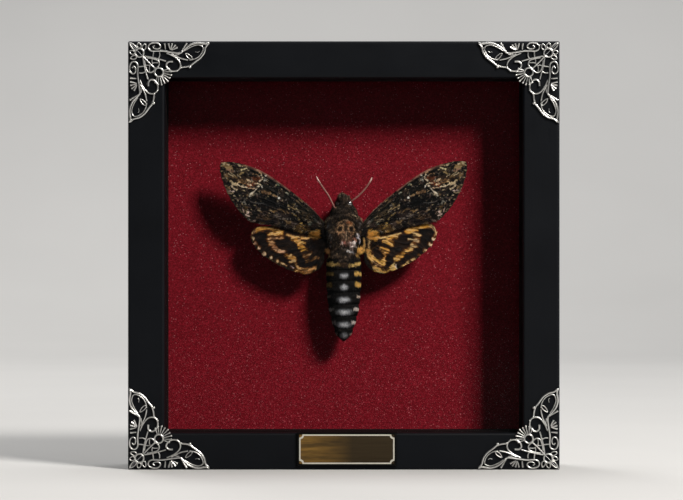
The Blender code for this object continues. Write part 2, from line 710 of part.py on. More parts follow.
def abdomen():
    """A turned, ringed cone: every segment ends in a small step over the next one."""
    bm = bmesh.new()
    first = SEGMENT_ENDS[0] - GAP / 2
    profile = [(0.0, first)]
    spans = list(zip(SEGMENT_ENDS, SEGMENT_ENDS[1:], SEGMENT_RADII, SEGMENT_RADII[1:]))
    for index, (top, bottom, wide, narrow) in enumerate(spans):
        last = index == len(spans) - 1
        start = first if index == 0 else top
        profile.append((wide - (ABDOMEN_STEP if index else 0.0), start))
        profile.append((wide * 0.42 + narrow * 0.58 + ABDOMEN_STEP * 0.6, start + (bottom - start) * 0.6))
        if not last:
            profile.append((narrow + ABDOMEN_STEP * 0.35, bottom + 0.25 * MM))
    profile.append((SEGMENT_RADII[-2] * 0.42, SEGMENT_ENDS[-1] + 1.3 * MM))
    profile.append((0.0, SEGMENT_ENDS[-1]))
    line = [bm.verts.new((radius, 0.0, along)) for radius, along in profile]
    for upper, lower in zip(line, line[1:]):
        bm.edges.new((upper, lower))
    mesh = bpy.data.meshes.new("abdomen")
    bm.to_mesh(mesh)
    bm.free()
    turned = bpy.data.objects.new("abdomen", mesh)
    MODEL.objects.link(turned)
    screw = turned.modifiers.new("turn", "SCREW")
    screw.steps = screw.render_steps = 18
    screw.use_merge_vertices = True
    screw.merge_threshold = 0.01 * MM
    turned.scale = (1.0, ABDOMEN_FLATTEN, 1.0)
    turned.location = body_point(0.0, 0.0, ABDOMEN_HEIGHT)
    mesh.materials.append(banded_down())
    bpy.context.view_layer.update()
    return smooth(as_mesh(turned), 25)


def columns_across(veins):
    """Places across the wing: the crest and the two feet of each vein and of both edges."""
    edges = [0.0] + [place for place, _ in veins] + [1.0]
    columns = []
    for left, right in zip(edges, edges[1:]):
        columns += [(left, "crest"), (left, "after"), (right, "before")]
    columns.append((1.0, "crest"))
    return columns


def wing(name, sign, length, hinge, sweep, heights, outline, veins, cell, rows, look, lift, droop):
    """A membrane with raised veins, stretched between its front edge, hind edge, root and margin."""
    columns = columns_across(veins)
    starts = dict(veins)
    lead_line, margin_line, hind_line = outline
    lead = spline_through([Vector(p) * length for p in lead_line], rows)
    hind = spline_through([Vector(p) * length for p in hind_line], rows)
    margin_fine = spline_through([Vector(p) * length for p in margin_line], 101)

    def margin_at(across):
        spot = across * 100
        index = min(int(spot), 99)
        return margin_fine[index].lerp(margin_fine[index + 1], spot - index)

    bm = bmesh.new()
    bmesh.ops.create_grid(bm, x_segments=rows - 1, y_segments=len(columns) - 1, size=1.0)
    raised = {}
    for vert in bm.verts:
        row = round((vert.co.x + 1) / 2 * (rows - 1))
        column = round((vert.co.y + 1) / 2 * (len(columns) - 1))
        across, kind = columns[column]
        out = row / (rows - 1)
        root_chord = (hind[0] - lead[0]).length
        span = root_chord + ((hind[row] - lead[row]).length - root_chord) * min(out * 1.4, 1.0)
        share = min(VEIN_HALF_WIDTH / span, 0.012)
        crest = across
        if kind == "after":
            across += share
        elif kind == "before":
            across -= share
        edge = margin_at(across)
        root = lead[0].lerp(hind[0], across)
        sides = lead[row].lerp(hind[row], across)
        ends = root.lerp(edge, out)
        corners = lead[0].lerp(lead[-1], out).lerp(hind[0].lerp(hind[-1], out), across)
        place = sides + ends - corners
        if row == rows - 1:
            dip = 0.0 if kind == "crest" else SCALLOP
            place = place - (edge - root).normalized() * dip
        is_vein = kind == "crest" and (across in (0.0, 1.0) or out >= starts.get(across, 0.0))
        raised[vert.index] = 0.0
        if is_vein:
            raised[vert.index] = 1.0 if out < 0.97 else 0.5
        if kind == "crest" and across == 1.0:
            raised[vert.index] = 0.3
        if abs(out - cell[0]) < 0.5 / (rows - 1) and cell[1] < crest < cell[2]:
            raised[vert.index] = 0.8
        share_out = place.x / length
        height = heights[0] + (heights[1] - heights[0]) * share_out
        height += lift * math.sin(math.pi * min(max(across, 0.0), 1.0)) * (0.4 + 0.6 * out)
        height -= droop * max(share_out, 0.0) ** 2
        angle = math.radians(sweep)
        x = hinge[0] + place.x * math.cos(angle) + place.y * math.sin(angle)
        z = hinge[1] + place.x * math.sin(angle) - place.y * math.cos(angle)
        vert.co = body_point(sign * x, z, height)
    membrane = object_from(name, bm, look)
    group = membrane.vertex_groups.new(name="veins")
    for index, weight in raised.items():
        group.add([index], weight, "REPLACE")
    split = membrane.modifiers.new("split alike", "TRIANGULATE")
    split.quad_method = "FIXED"
    wall = membrane.modifiers.new("thickness", "SOLIDIFY")
    wall.thickness = VEIN_THICK
    wall.offset = 0.0
    wall.vertex_group = "veins"
    wall.thickness_vertex_group = MEMBRANE / VEIN_THICK
    apply_modifiers(membrane)
    trim(membrane, thorax("thorax_cutter", GAP))
    return smooth(membrane, 35)


def wings():
    fore = (FORE_LEAD, FORE_MARGIN, FORE_HIND)
    hind = (HIND_LEAD, HIND_MARGIN, HIND_INNER)
    for side, sign in (("left", -1), ("right", 1)):
        wing("forewing_" + side, sign, FORE_LENGTH, FORE_HINGE, FORE_SWEEP[sign], FORE_HEIGHT, fore, FORE_VEINS,
             FORE_CELL, 10, fore_scales(), 0.9 * MM, 0.8 * MM)
        wing("hindwing_" + side, sign, HIND_LENGTH, HIND_HINGE, HIND_SWEEP[sign], HIND_HEIGHT, hind, HIND_VEINS,
             HIND_CELL, 8, hind_scales(), 0.5 * MM, 0.6 * MM)


def legs():
    """Six legs folded under the body, each from hip to claw."""
    for pair, path in LEG_PATHS.items():
        for side, sign in (("left", -1), ("right", 1)):
            points = [body_point(sign * x * MM, z * MM, h * MM) for x, z, h in path]
            leg = tube(f"leg_{pair}_{side}", points, LEG_RADIUS, horny_brown(), LEG_TAPER)
            trim(leg, thorax("thorax_cutter", GAP))
            smooth(leg)


def pin():
    """The short pin that stands in the backing and holds the body from behind."""
    across, along, height = THORAX_CENTRE
    top = height - THORAX_RADII[2] - GAP
    rod("pin", body_point(across, along, GAP), body_point(across, along, top), PIN_RADIUS, plain_steel())


clear_scene()
MODEL = bpy.data.collections.new("framed_hawkmoth")
bpy.context.scene.collection.children.link(MODEL)

frame_sides()
frame_sheets()
turn_buttons()
hanger()
filigree_corners()
plaque()
smooth(thorax())
smooth(head())
eyes()
palps()
tongue()
antennae()
abdomen()
wings()
legs()
pin()
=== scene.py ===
# %% [markdown]
# # A death's head hawkmoth in a shadow-box frame
#
# The specimen is a real moth, spread and dried, held in front of a crimson card in a deep black frame
# with silver filigree corners and a bronze plate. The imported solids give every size. This lesson gives
# each surface its finish, and rebuilds the soft and the finely worked pieces over the solids.

import itertools
import json
import math

import bmesh
import bpy
import numpy as np
from mathutils import Matrix, Vector

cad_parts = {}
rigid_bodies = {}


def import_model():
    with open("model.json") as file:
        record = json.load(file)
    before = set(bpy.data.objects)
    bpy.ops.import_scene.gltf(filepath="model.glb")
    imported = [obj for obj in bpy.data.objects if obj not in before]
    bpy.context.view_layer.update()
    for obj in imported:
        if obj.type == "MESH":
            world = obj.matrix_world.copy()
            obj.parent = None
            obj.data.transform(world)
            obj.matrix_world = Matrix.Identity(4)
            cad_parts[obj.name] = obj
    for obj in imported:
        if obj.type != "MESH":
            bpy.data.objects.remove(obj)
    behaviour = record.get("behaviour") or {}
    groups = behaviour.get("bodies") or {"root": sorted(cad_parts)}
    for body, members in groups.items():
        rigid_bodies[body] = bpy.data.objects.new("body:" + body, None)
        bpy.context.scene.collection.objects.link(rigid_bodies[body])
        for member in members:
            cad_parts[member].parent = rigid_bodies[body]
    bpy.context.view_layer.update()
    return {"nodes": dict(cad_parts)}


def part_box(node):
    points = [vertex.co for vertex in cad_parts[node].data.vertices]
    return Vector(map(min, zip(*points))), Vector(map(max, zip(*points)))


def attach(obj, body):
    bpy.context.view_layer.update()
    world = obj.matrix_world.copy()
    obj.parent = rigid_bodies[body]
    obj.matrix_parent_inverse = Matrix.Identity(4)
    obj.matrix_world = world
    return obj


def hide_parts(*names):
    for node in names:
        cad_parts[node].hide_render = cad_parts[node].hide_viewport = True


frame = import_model()

# %% [markdown]
# Everything is in metres, but a moth is easier to think of in millimetres. A place on the moth has
# three numbers: across from the frame's middle, along the body from the frame's middle, and height out
# from the card. Both planes are read from the solids, so nothing has to be fitted.

# %% Millimetres, and a place on the moth
MM = 0.001
CARD_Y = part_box("backing")[0][1]
FRONT_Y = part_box("frame_top")[0][1]
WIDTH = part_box("frame_right")[1][0] * 2
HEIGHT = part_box("frame_top")[1][2]
CENTRE_Z = HEIGHT / 2
SIDES = (("left", -1), ("right", 1))


def placed(spots):
    """Turns rows of (across, along, height) in millimetres into places in metres."""
    spots = np.asarray(spots, float)
    return np.stack([spots[:, 0] * MM, CARD_Y - spots[:, 2] * MM, CENTRE_Z + spots[:, 1] * MM], axis=1)


print("card at y", round(CARD_Y, 4), "frame", round(WIDTH, 4), "by", round(HEIGHT, 4))

# %% [markdown]
# The camera looks straight at the frame from a little above its middle, with a long lens, as the
# picture was taken. It comes first because everything after it is judged from here.

# %% Camera
scene = bpy.context.scene
eye = Vector((-1.07 * MM, -1.267, 101.75 * MM))
lens = bpy.data.cameras.new("camera")
lens.sensor_width = 36.0
lens.lens = 142.2
lens.clip_start, lens.clip_end = 0.05, 20.0
camera = bpy.data.objects.new("camera", lens)
camera.location = eye
camera.rotation_euler = (math.radians(90.0), 0.0, 0.0)
scene.collection.objects.link(camera)
scene.camera = camera
print("camera", [round(v, 4) for v in eye], "lens", lens.lens)

# %% [markdown]
# Light decides how deep the box looks. One soft lamp stands high on the right and in front, so the top
# and right bars shade the card and the moth's shadow falls down to the left. A weak wide lamp on the
# left and a faint sky keep the dark side readable without filling the box. A third lamp, above and
# behind the frame, lights only the backdrop, and a fourth one the back.

# %% Lamps, sky and colour handling
scene.view_settings.view_transform = "Standard"


def soft_lamp(name, place, aim, size, power, colour):
    """A square area lamp that points at a place."""
    data = bpy.data.lights.new(name, "AREA")
    data.size, data.energy, data.color = size, power, colour
    lamp = bpy.data.objects.new(name, data)
    lamp.location = place
    lamp.rotation_euler = (Vector(aim) - Vector(place)).to_track_quat("-Z", "Y").to_euler()
    scene.collection.objects.link(lamp)


middle = Vector((0.0, 0.0, CENTRE_Z))
soft_lamp("key", middle + Vector((0.89, -1.0, 1.05)) * 0.9, middle, 0.34, 26.0, (1.0, 0.97, 0.93))
soft_lamp("fill", middle + Vector((-1.1, -1.3, 0.3)), middle, 1.2, 0.4, (0.9, 0.94, 1.0))
soft_lamp("wall", Vector((0.0, 0.6, 2.3)), Vector((0.0, 1.9, 0.5)), 1.4, 34.0, (1.0, 1.0, 1.0))
soft_lamp("back", Vector((-0.7, 1.3, 1.2)), middle, 0.6, 7.0, (1.0, 0.98, 0.95))
sky = bpy.data.worlds.new("sky")
sky.use_nodes = True
glow = sky.node_tree.nodes["Background"]
glow.inputs["Color"].default_value = (0.86, 0.88, 0.92, 1.0)
glow.inputs["Strength"].default_value = 0.06
scene.world = sky

# %% [markdown]
# A finish is a small tree of nodes. Building a tree by hand takes many lines, so one helper adds a
# node with its settings and inputs, where an input is either a number or a socket to join. The others
# give what nearly every finish needs: noise, cells, a mask from a value, a mix of two colours, a bump,
# and the joins to the shader.

# %% Helpers for finishes


def feed(node, inputs):
    """Gives a node its inputs, by name or by number: a socket is joined, and a number is set."""
    for name, value in inputs.items():
        socket = node.inputs[name]
        if isinstance(value, bpy.types.NodeSocket):
            node.id_data.links.new(value, socket)
        else:
            socket.default_value = value


def add(tree, kind, settings=None, inputs=None):
    """Adds a node with its settings and inputs, and returns it."""
    node = tree.nodes.new(kind)
    for name, value in (settings or {}).items():
        setattr(node, name, value)
    feed(node, inputs or {})
    return node


def finish(name, roughness=0.5, metallic=0.0):
    """A material with its tree and its Principled shader."""
    made = bpy.data.materials.new(name)
    made.use_nodes = True
    shader = made.node_tree.nodes["Principled BSDF"]
    feed(shader, {"Roughness": roughness, "Metallic": metallic})
    return made, made.node_tree, shader


def dye(shader, colour, rough=None, shine=None):
    """Gives the shader its colour and, where they are given, its roughness and how much it reflects."""
    inputs = {"Base Color": colour, "Roughness": rough, "Specular IOR Level": shine}
    feed(shader, {name: value for name, value in inputs.items() if value is not None})


def place_of(tree, stretch=(1.0, 1.0, 1.0)):
    """The place on the object in metres, stretched so that patterns turn into grain."""
    at = add(tree, "ShaderNodeTexCoord").outputs["Object"]
    return add(tree, "ShaderNodeMapping", None, {"Vector": at, "Scale": stretch}).outputs[0]


def noise(tree, place, size, detail=3.0, rough=0.55):
    """Noise from 0 to 1 that changes over about this size in metres."""
    inputs = {"Vector": place, "Scale": 1.0 / size, "Detail": detail, "Roughness": rough}
    return add(tree, "ShaderNodeTexNoise", None, inputs).outputs["Fac"]


def cells(tree, place, size):
    """Cells of about this size in metres, as two sockets: the way from each middle, and a random colour."""
    made = add(tree, "ShaderNodeTexVoronoi", None, {"Vector": place, "Scale": 1 / size})
    return made.outputs["Distance"], made.outputs["Color"]


def split(tree, value, kind="XYZ"):
    """The three numbers of a place, or of a colour, as sockets."""
    return add(tree, "ShaderNodeSeparate" + kind, None, {0: value}).outputs


def mask(tree, value, low, high, start=0.0, end=1.0):
    """Maps a value from the range low to high onto start to end, and holds it there."""
    inputs = {"Value": value, "From Min": low, "From Max": high, "To Min": start, "To Max": end}
    return add(tree, "ShaderNodeMapRange", None, inputs).outputs[0]


def mixed(tree, share, first, second, blend="MIX"):
    """A mix of two colours, each a tuple or a socket."""
    def full(colour):
        return (*colour, 1.0) if isinstance(colour, tuple) else colour
    settings = {"data_type": "RGBA", "blend_type": blend}
    return add(tree, "ShaderNodeMix", settings, {0: share, 6: full(first), 7: full(second)}).outputs[2]


def maths(tree, operation, first, second=0.0):
    """One step of arithmetic, on numbers or sockets."""
    return add(tree, "ShaderNodeMath", {"operation": operation}, {0: first, 1: second}).outputs[0]


def bumped(tree, shader, height, depth, strength=1.0):
    """Raises the surface by a height from 0 to 1, times a depth in metres."""
    made = add(tree, "ShaderNodeBump", None, {"Height": height, "Distance": depth, "Strength": strength})
    feed(shader, {"Normal": made.outputs[0]})


def linear(colour):
    """An eye-matched colour from 0 to 255 as the linear numbers that a shader takes."""
    value = np.asarray(colour, float) / 255
    return np.where(value <= 0.04045, value / 12.92, ((value + 0.055) / 1.055) ** 2.4)


def tone(*colour):
    """The same, as a tuple of plain numbers."""
    return tuple(float(v) for v in linear(colour))


print("helpers ready")

# %% [markdown]
# The bars are wood under a thin satin black paint that leans to blue. Paint over wood shows the grain
# only as faint ridges along each bar, and it wears to a slightly lighter grey along the sharp edges.
# Two finishes are made from one function because the grain runs along X on two bars and along Z on
# the other two.

# %% Satin black paint on wooden bars


def black_paint(name, stretch):
    """Black paint whose grain is drawn out by the stretch, and which wears along the bars' edges."""
    made, tree, shader = finish(name)
    grain_at = place_of(tree, stretch)
    at = place_of(tree)
    grain = noise(tree, grain_at, 0.0011, 4.0)
    cloud = noise(tree, at, 0.02, 3.0)
    speck = noise(tree, at, 0.00035, 2.0)
    spot = split(tree, at)
    from_side = maths(tree, "SUBTRACT", WIDTH / 2, maths(tree, "ABSOLUTE", spot[0]))
    rise = maths(tree, "ABSOLUTE", maths(tree, "SUBTRACT", spot[2], CENTRE_Z))
    from_end = maths(tree, "SUBTRACT", HEIGHT / 2, rise)
    from_edge = maths(tree, "MINIMUM", from_side, from_end)
    from_front = maths(tree, "SUBTRACT", spot[1], FRONT_Y)
    corner = maths(tree, "MAXIMUM", from_edge, from_front)
    ragged = maths(tree, "ADD", corner, maths(tree, "MULTIPLY", cloud, 0.0011))
    wear_and_painted_shade = mask(tree, ragged, 0.0008, 0.0014, 1.0, 0.0)
    base = mixed(tree, cloud, tone(9, 11, 15), tone(15, 18, 23))
    base = mixed(tree, maths(tree, "MULTIPLY", grain, 0.35), base, tone(8, 10, 12))
    base = mixed(tree, maths(tree, "MULTIPLY", wear_and_painted_shade, 0.4), base, tone(38, 41, 45))
    dye(shader, base, mask(tree, maths(tree, "ADD", grain, cloud), 0.6, 1.5, 0.42, 0.62), 0.13)
    height = maths(tree, "ADD", grain, maths(tree, "MULTIPLY", speck, 0.5))
    bumped(tree, shader, height, 0.00008, 0.5)
    return made


def dress(finish_made, *nodes):
    """Gives CAD nodes that keep their shape a better finish."""
    for name in nodes:
        mesh = frame["nodes"][name].data
        for index in range(len(mesh.materials)):
            mesh.materials[index] = finish_made


dress(black_paint("black_paint_level", (0.06, 1.0, 1.0)), "frame_top", "frame_bottom")
dress(black_paint("black_paint_upright", (1.0, 1.0, 0.06)), "frame_left", "frame_right")
print("bars painted")

# %% [markdown]
# Behind the glass a strip of black board keeps the pane and the card apart. It is paper, so it is
# flatter and duller than the paint, with a fibre that shows only close up.

# %% Black board liner
board, tree, shader = finish("black_board_paper", 0.85)
fibre = noise(tree, place_of(tree, (1.0, 0.2, 1.0)), 0.0006, 5.0)
rough = mask(tree, noise(tree, place_of(tree), 0.006), 0.3, 0.7, 0.75, 0.95)
dye(shader, mixed(tree, fibre, tone(5, 2, 3), tone(12, 6, 8)), rough, 0.1)
bumped(tree, shader, fibre, 0.00006, 0.6)
dress(board, "liner_bottom", "liner_left", "liner_top", "liner_right")
print("liner done")

# %% [markdown]
# The card is crimson glitter card: a red ground with thousands of tiny flakes, each lying at its own
# angle, so that a few catch the lamp. A cell pattern gives every flake one random colour. Its three
# numbers say which flakes carry a painted pale sparkle, which are dark, and how they tilt. A few larger
# cells carry a painted near-white glint.

# %% Crimson glitter card
card, tree, shader = finish("crimson_glitter_card", 0.6)
at = place_of(tree)
chance = split(tree, cells(tree, at, 0.00046)[1], "Color")
from_middle, coarse = cells(tree, at, 0.0007)
# Painted sparkle: pale flakes laid lighter, standing in for flakes that catch the lamp.
painted_shimmer = mask(tree, chance[0], 0.4, 1.0)
# Painted glint: a few larger cells are laid near white.
painted_glint = mask(tree, split(tree, coarse, "Color")[1], 0.95, 0.97)
painted_glint = maths(tree, "MULTIPLY", painted_glint, mask(tree, from_middle, 0.3, 0.55, 1.0, 0.0))
cloud = noise(tree, at, 0.018, 3.0)
ground = mixed(tree, cloud, tone(113, 3, 19), tone(127, 6, 25))
ground = mixed(tree, maths(tree, "MULTIPLY", painted_shimmer, 0.42), ground, tone(190, 40, 60))
ground = mixed(tree, mask(tree, chance[1], 0.5, 1.0, 0.0, 0.55), ground, tone(74, 2, 12))
ground = mixed(tree, maths(tree, "MULTIPLY", painted_glint, 0.9), ground, tone(255, 168, 176))
dye(shader, ground, mask(tree, painted_shimmer, 0.0, 1.0, 0.8, 0.5), 0.15)
bumped(tree, shader, chance[2], 0.00012, 0.6)
dress(card, "backing")
print("card done")

# %% [markdown]
# The pane is clear float glass. A pane that is mostly see-through, rather than one that bends light,
# lets the lamps reach the moth without noise. Faint smears change its roughness.

# %% Glass pane
glass, tree, shader = finish("clear_pane", 0.05)
smear = noise(tree, place_of(tree, (1.0, 1.0, 0.35)), 0.03, 4.0)
dye(shader, mixed(tree, smear, tone(30, 34, 34), tone(44, 50, 50)), mask(tree, smear, 0.45, 0.75, 0.03, 0.12))
feed(shader, {"Alpha": 0.025})
glass.surface_render_method = "BLENDED"
dress(glass, "glass")
print("glass done")

# %% [markdown]
# The back is a plain brown fibre board under steel turn buttons, with a toothed steel hanger. Fibre
# board is a mat of short fibres pressed flat, and steel fittings are rolled, so one gets a tangle and
# the other fine scratches that run one way.

# %% Fibre board and steel fittings
hardboard, tree, shader = finish("brown_fibre_board", 0.75)
fibre = noise(tree, place_of(tree, (1.0, 1.0, 0.3)), 0.0012, 5.0, 0.65)
mat = noise(tree, place_of(tree), 0.012, 4.0)
base = mixed(tree, fibre, tone(92, 62, 40), tone(148, 110, 76))
base = mixed(tree, mask(tree, mat, 0.4, 0.75, 0.0, 0.5), base, tone(112, 80, 54))
dye(shader, base, mask(tree, fibre, 0.2, 0.8, 0.62, 0.88))
bumped(tree, shader, fibre, 0.00008, 0.6)
dress(hardboard, "back_panel")

steel, tree, shader = finish("rolled_steel", 0.35, 1.0)
scratch = noise(tree, place_of(tree, (0.05, 1.0, 1.0)), 0.0004, 4.0)
tarnish = noise(tree, place_of(tree), 0.004, 3.0)
base = mixed(tree, tarnish, tone(172, 170, 165), tone(206, 205, 203))
base = mixed(tree, mask(tree, tarnish, 0.55, 0.8, 0.0, 0.6), base, tone(120, 112, 100))
dye(shader, base, mask(tree, scratch, 0.3, 0.7, 0.24, 0.46))
bumped(tree, shader, scratch, 0.00003, 0.5)
fittings = [name for name in frame["nodes"] if name.startswith(("turn_", "hanger"))] + ["pin"]
dress(steel, *fittings)
print("back done:", len(fittings), "fittings")

# %% [markdown]
# Geometry Nodes make everything that repeats or runs along a line. Each tree is built in the script
# and run on a plain object, and the result is kept as an ordinary mesh. These helpers start a tree
# with named inputs, run it, and keep what it made.

# %% Helpers for growing pieces with Geometry Nodes


def in_scene(name, mesh, look=None):
    """An object at the origin with this mesh and finish, in the scene."""
    if look:
        mesh.materials.append(look)
    made = bpy.data.objects.new(name, mesh)
    scene.collection.objects.link(made)
    return made


def new_mesh(name, spots, edges=(), faces=(), look=None):
    """A mesh object from lists of places, edges and faces."""
    mesh = bpy.data.meshes.new(name)
    mesh.from_pydata([tuple(spot) for spot in spots], list(edges), list(faces))
    return in_scene(name, mesh, look)


def from_bmesh(name, bm, look=None):
    """A mesh object from a bmesh, which ends here."""
    mesh = bpy.data.meshes.new(name)
    bm.to_mesh(mesh)
    bm.free()
    return in_scene(name, mesh, look)


def new_tree(name, sizes):
    """A Geometry Nodes tree with a geometry in and out and these named inputs."""
    tree = bpy.data.node_groups.new(name, "GeometryNodeTree")
    tree.interface.new_socket("Geometry", in_out="INPUT", socket_type="NodeSocketGeometry")
    tree.interface.new_socket("Geometry", in_out="OUTPUT", socket_type="NodeSocketGeometry")
    for label, kind in sizes.items():
        tree.interface.new_socket(label, in_out="INPUT", socket_type="NodeSocket" + kind)
    return tree, tree.nodes.new("NodeGroupInput").outputs


def end_tree(tree, grown, look):
    """Realizes what the tree made, gives it its finish and hands it out."""
    real = add(tree, "GeometryNodeRealizeInstances", None, {0: grown}).outputs[0]
    dressed = add(tree, "GeometryNodeSetMaterial", None, {"Geometry": real, "Material": look}).outputs[0]
    add(tree, "NodeGroupOutput", None, {0: dressed})


def grow(carrier, tree, sizes, name):
    """Runs the tree on a carrier with these sizes, and returns the result as a plain mesh object."""
    run = carrier.modifiers.new("grow", "NODES")
    run.node_group = tree
    sockets = {s.name: s.identifier for s in tree.interface.items_tree if s.in_out == "INPUT"}
    for label, value in sizes.items():
        run[sockets[label]] = value
    graph = bpy.context.evaluated_depsgraph_get()
    mesh = bpy.data.meshes.new_from_object(carrier.evaluated_get(graph))
    mesh.name = name
    made = in_scene(name, mesh)
    bpy.data.objects.remove(carrier)
    return made


def keep_radii(obj, radii):
    """Keeps a radius for each point of a mesh, where the trees read it."""
    layer = obj.data.attributes.new("line_radius", "FLOAT", "POINT")
    layer.data.foreach_set("value", np.array(radii, np.float32))


def line_carrier(name, lines):
    """A mesh of loose lines, each (points, closed, radius or radii), which a tree turns into curves."""
    spots, edges, radii = [], [], []
    for points, closed, radius in lines:
        start, count = len(spots), len(points)
        spots += [tuple(p) for p in points]
        edges += [(start + k, start + k + 1) for k in range(count - 1)]
        if closed:
            edges.append((start + count - 1, start))
        radii += list(np.broadcast_to(radius, count))
    made = new_mesh(name, spots, edges)
    keep_radii(made, radii)
    return made


def line_inputs(tree, given):
    """What both trees start from: the lines as curves, the radius at each point, and a round section."""
    kept = add(tree, "GeometryNodeInputNamedAttribute", {"data_type": "FLOAT"}, {"Name": "line_radius"})
    curves = add(tree, "GeometryNodeMeshToCurve", None, {0: given["Geometry"]})
    inputs = {"Resolution": given["Sides"], "Radius": 1.0}
    ring = add(tree, "GeometryNodeCurvePrimitiveCircle", None, inputs)
    return curves.outputs[0], kept.outputs[0], ring.outputs[0]


def even_spline(points, count):
    """Points spread evenly along a smooth curve through the given ones."""
    points = np.asarray(points, float)
    knots = np.vstack([2 * points[0] - points[1], points, 2 * points[-1] - points[-2]])
    t = np.linspace(0, 1, 24, endpoint=False)[:, None]
    fine = []
    for p0, p1, p2, p3 in zip(knots, knots[1:], knots[2:], knots[3:]):
        fine.append(0.5 * (2 * p1 + (p2 - p0) * t + (2 * p0 - 5 * p1 + 4 * p2 - p3) * t ** 2
                           + (3 * p1 - p0 - 3 * p2 + p3) * t ** 3))
    fine = np.vstack(fine + [knots[-2]])
    run = np.concatenate([[0.0], np.cumsum(np.linalg.norm(np.diff(fine, axis=0), axis=1))])
    goal = np.linspace(0, run[-1], count)
    return np.stack([np.interp(goal, run, fine[:, axis]) for axis in range(points.shape[1])], axis=1)


def vertex_rows(mesh):
    """The places of a mesh's points, as rows."""
    rows = np.empty(len(mesh.vertices) * 3)
    mesh.vertices.foreach_get("co", rows)
    return rows.reshape(-1, 3)


def move_points(mesh, rows):
    """Gives every point of a mesh a new place."""
    mesh.vertices.foreach_set("co", rows.astype(np.float32).ravel())
    mesh.update()


def turn_outwards(obj):
    """Joins points that lie on one another, and turns every face of a closed mesh outwards."""
    bm = bmesh.new()
    bm.from_mesh(obj.data)
    bmesh.ops.remove_doubles(bm, verts=bm.verts, dist=1e-7)
    bmesh.ops.recalc_face_normals(bm, faces=bm.faces)
    if bm.calc_volume(signed=True) < 0:
        bmesh.ops.reverse_faces(bm, faces=bm.faces)
    bm.to_mesh(obj.data)
    bm.free()


def hand_over(piece, slot, *nodes):
    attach(piece, "root")
    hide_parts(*nodes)


print("growing helpers ready")

# %% [markdown]
# The corners are stamped openwork in antique silver: a ring flower at the tip of the corner, a scroll
# and a fan on each leg, a leaf-shaped loop at each end and a palmette on the diagonal. One tree turns
# lines into round ribs and sets beads on their ends. The lines are given for one leg and mirrored.

# %% Antique silver
silver, tree, shader = finish("antique_silver", 0.32, 1.0)
at = place_of(tree)
spot = split(tree, at)
rise = maths(tree, "SUBTRACT", FRONT_Y, spot[1])
cloud = noise(tree, at, 0.0016, 4.0)
rub = mask(tree, maths(tree, "ADD", rise, maths(tree, "MULTIPLY", cloud, 0.0007)), 0.00085, 0.00135)
base = mixed(tree, rub, tone(17, 17, 17), mixed(tree, cloud, tone(204, 202, 197), tone(244, 243, 240)))
dye(shader, base, mask(tree, rub, 0.0, 1.0, 0.6, 0.3))
bumped(tree, shader, noise(tree, at, 0.0003, 3.0), 0.00004, 0.6)
print("silver ready")

# %% The ribs of one corner


def flower_ring(centre, radius=2.0, count=20):
    """Points round a closed ring whose middle lies on the diagonal."""
    angle = np.linspace(0, 2 * math.pi, count, endpoint=False)
    return np.stack([centre + radius * np.cos(angle), centre + radius * np.sin(angle)], axis=1)


def leaf(root, tip, width, count=14):
    """A closed pointed loop from its root to its tip."""
    root, tip = np.array(root, float), np.array(tip, float)
    along = tip - root
    across = np.array([-along[1], along[0]]) / np.linalg.norm(along)
    share = np.linspace(0, 2 * math.pi, count, endpoint=False)
    out = (1 - np.cos(share)) / 2
    swing = np.sin(share) * (1.25 - 0.5 * out) * width / 2
    return root + out[:, None] * along + swing[:, None] * across


def stroke(points, radius, count, taper=(1.0, 1.0)):
    """An open rib along a smooth curve, whose radius is tapered from end to end."""
    return even_spline(points, count), False, np.linspace(*taper, count) * radius


FLOWER = 5.1
PALMETTE = 14.1


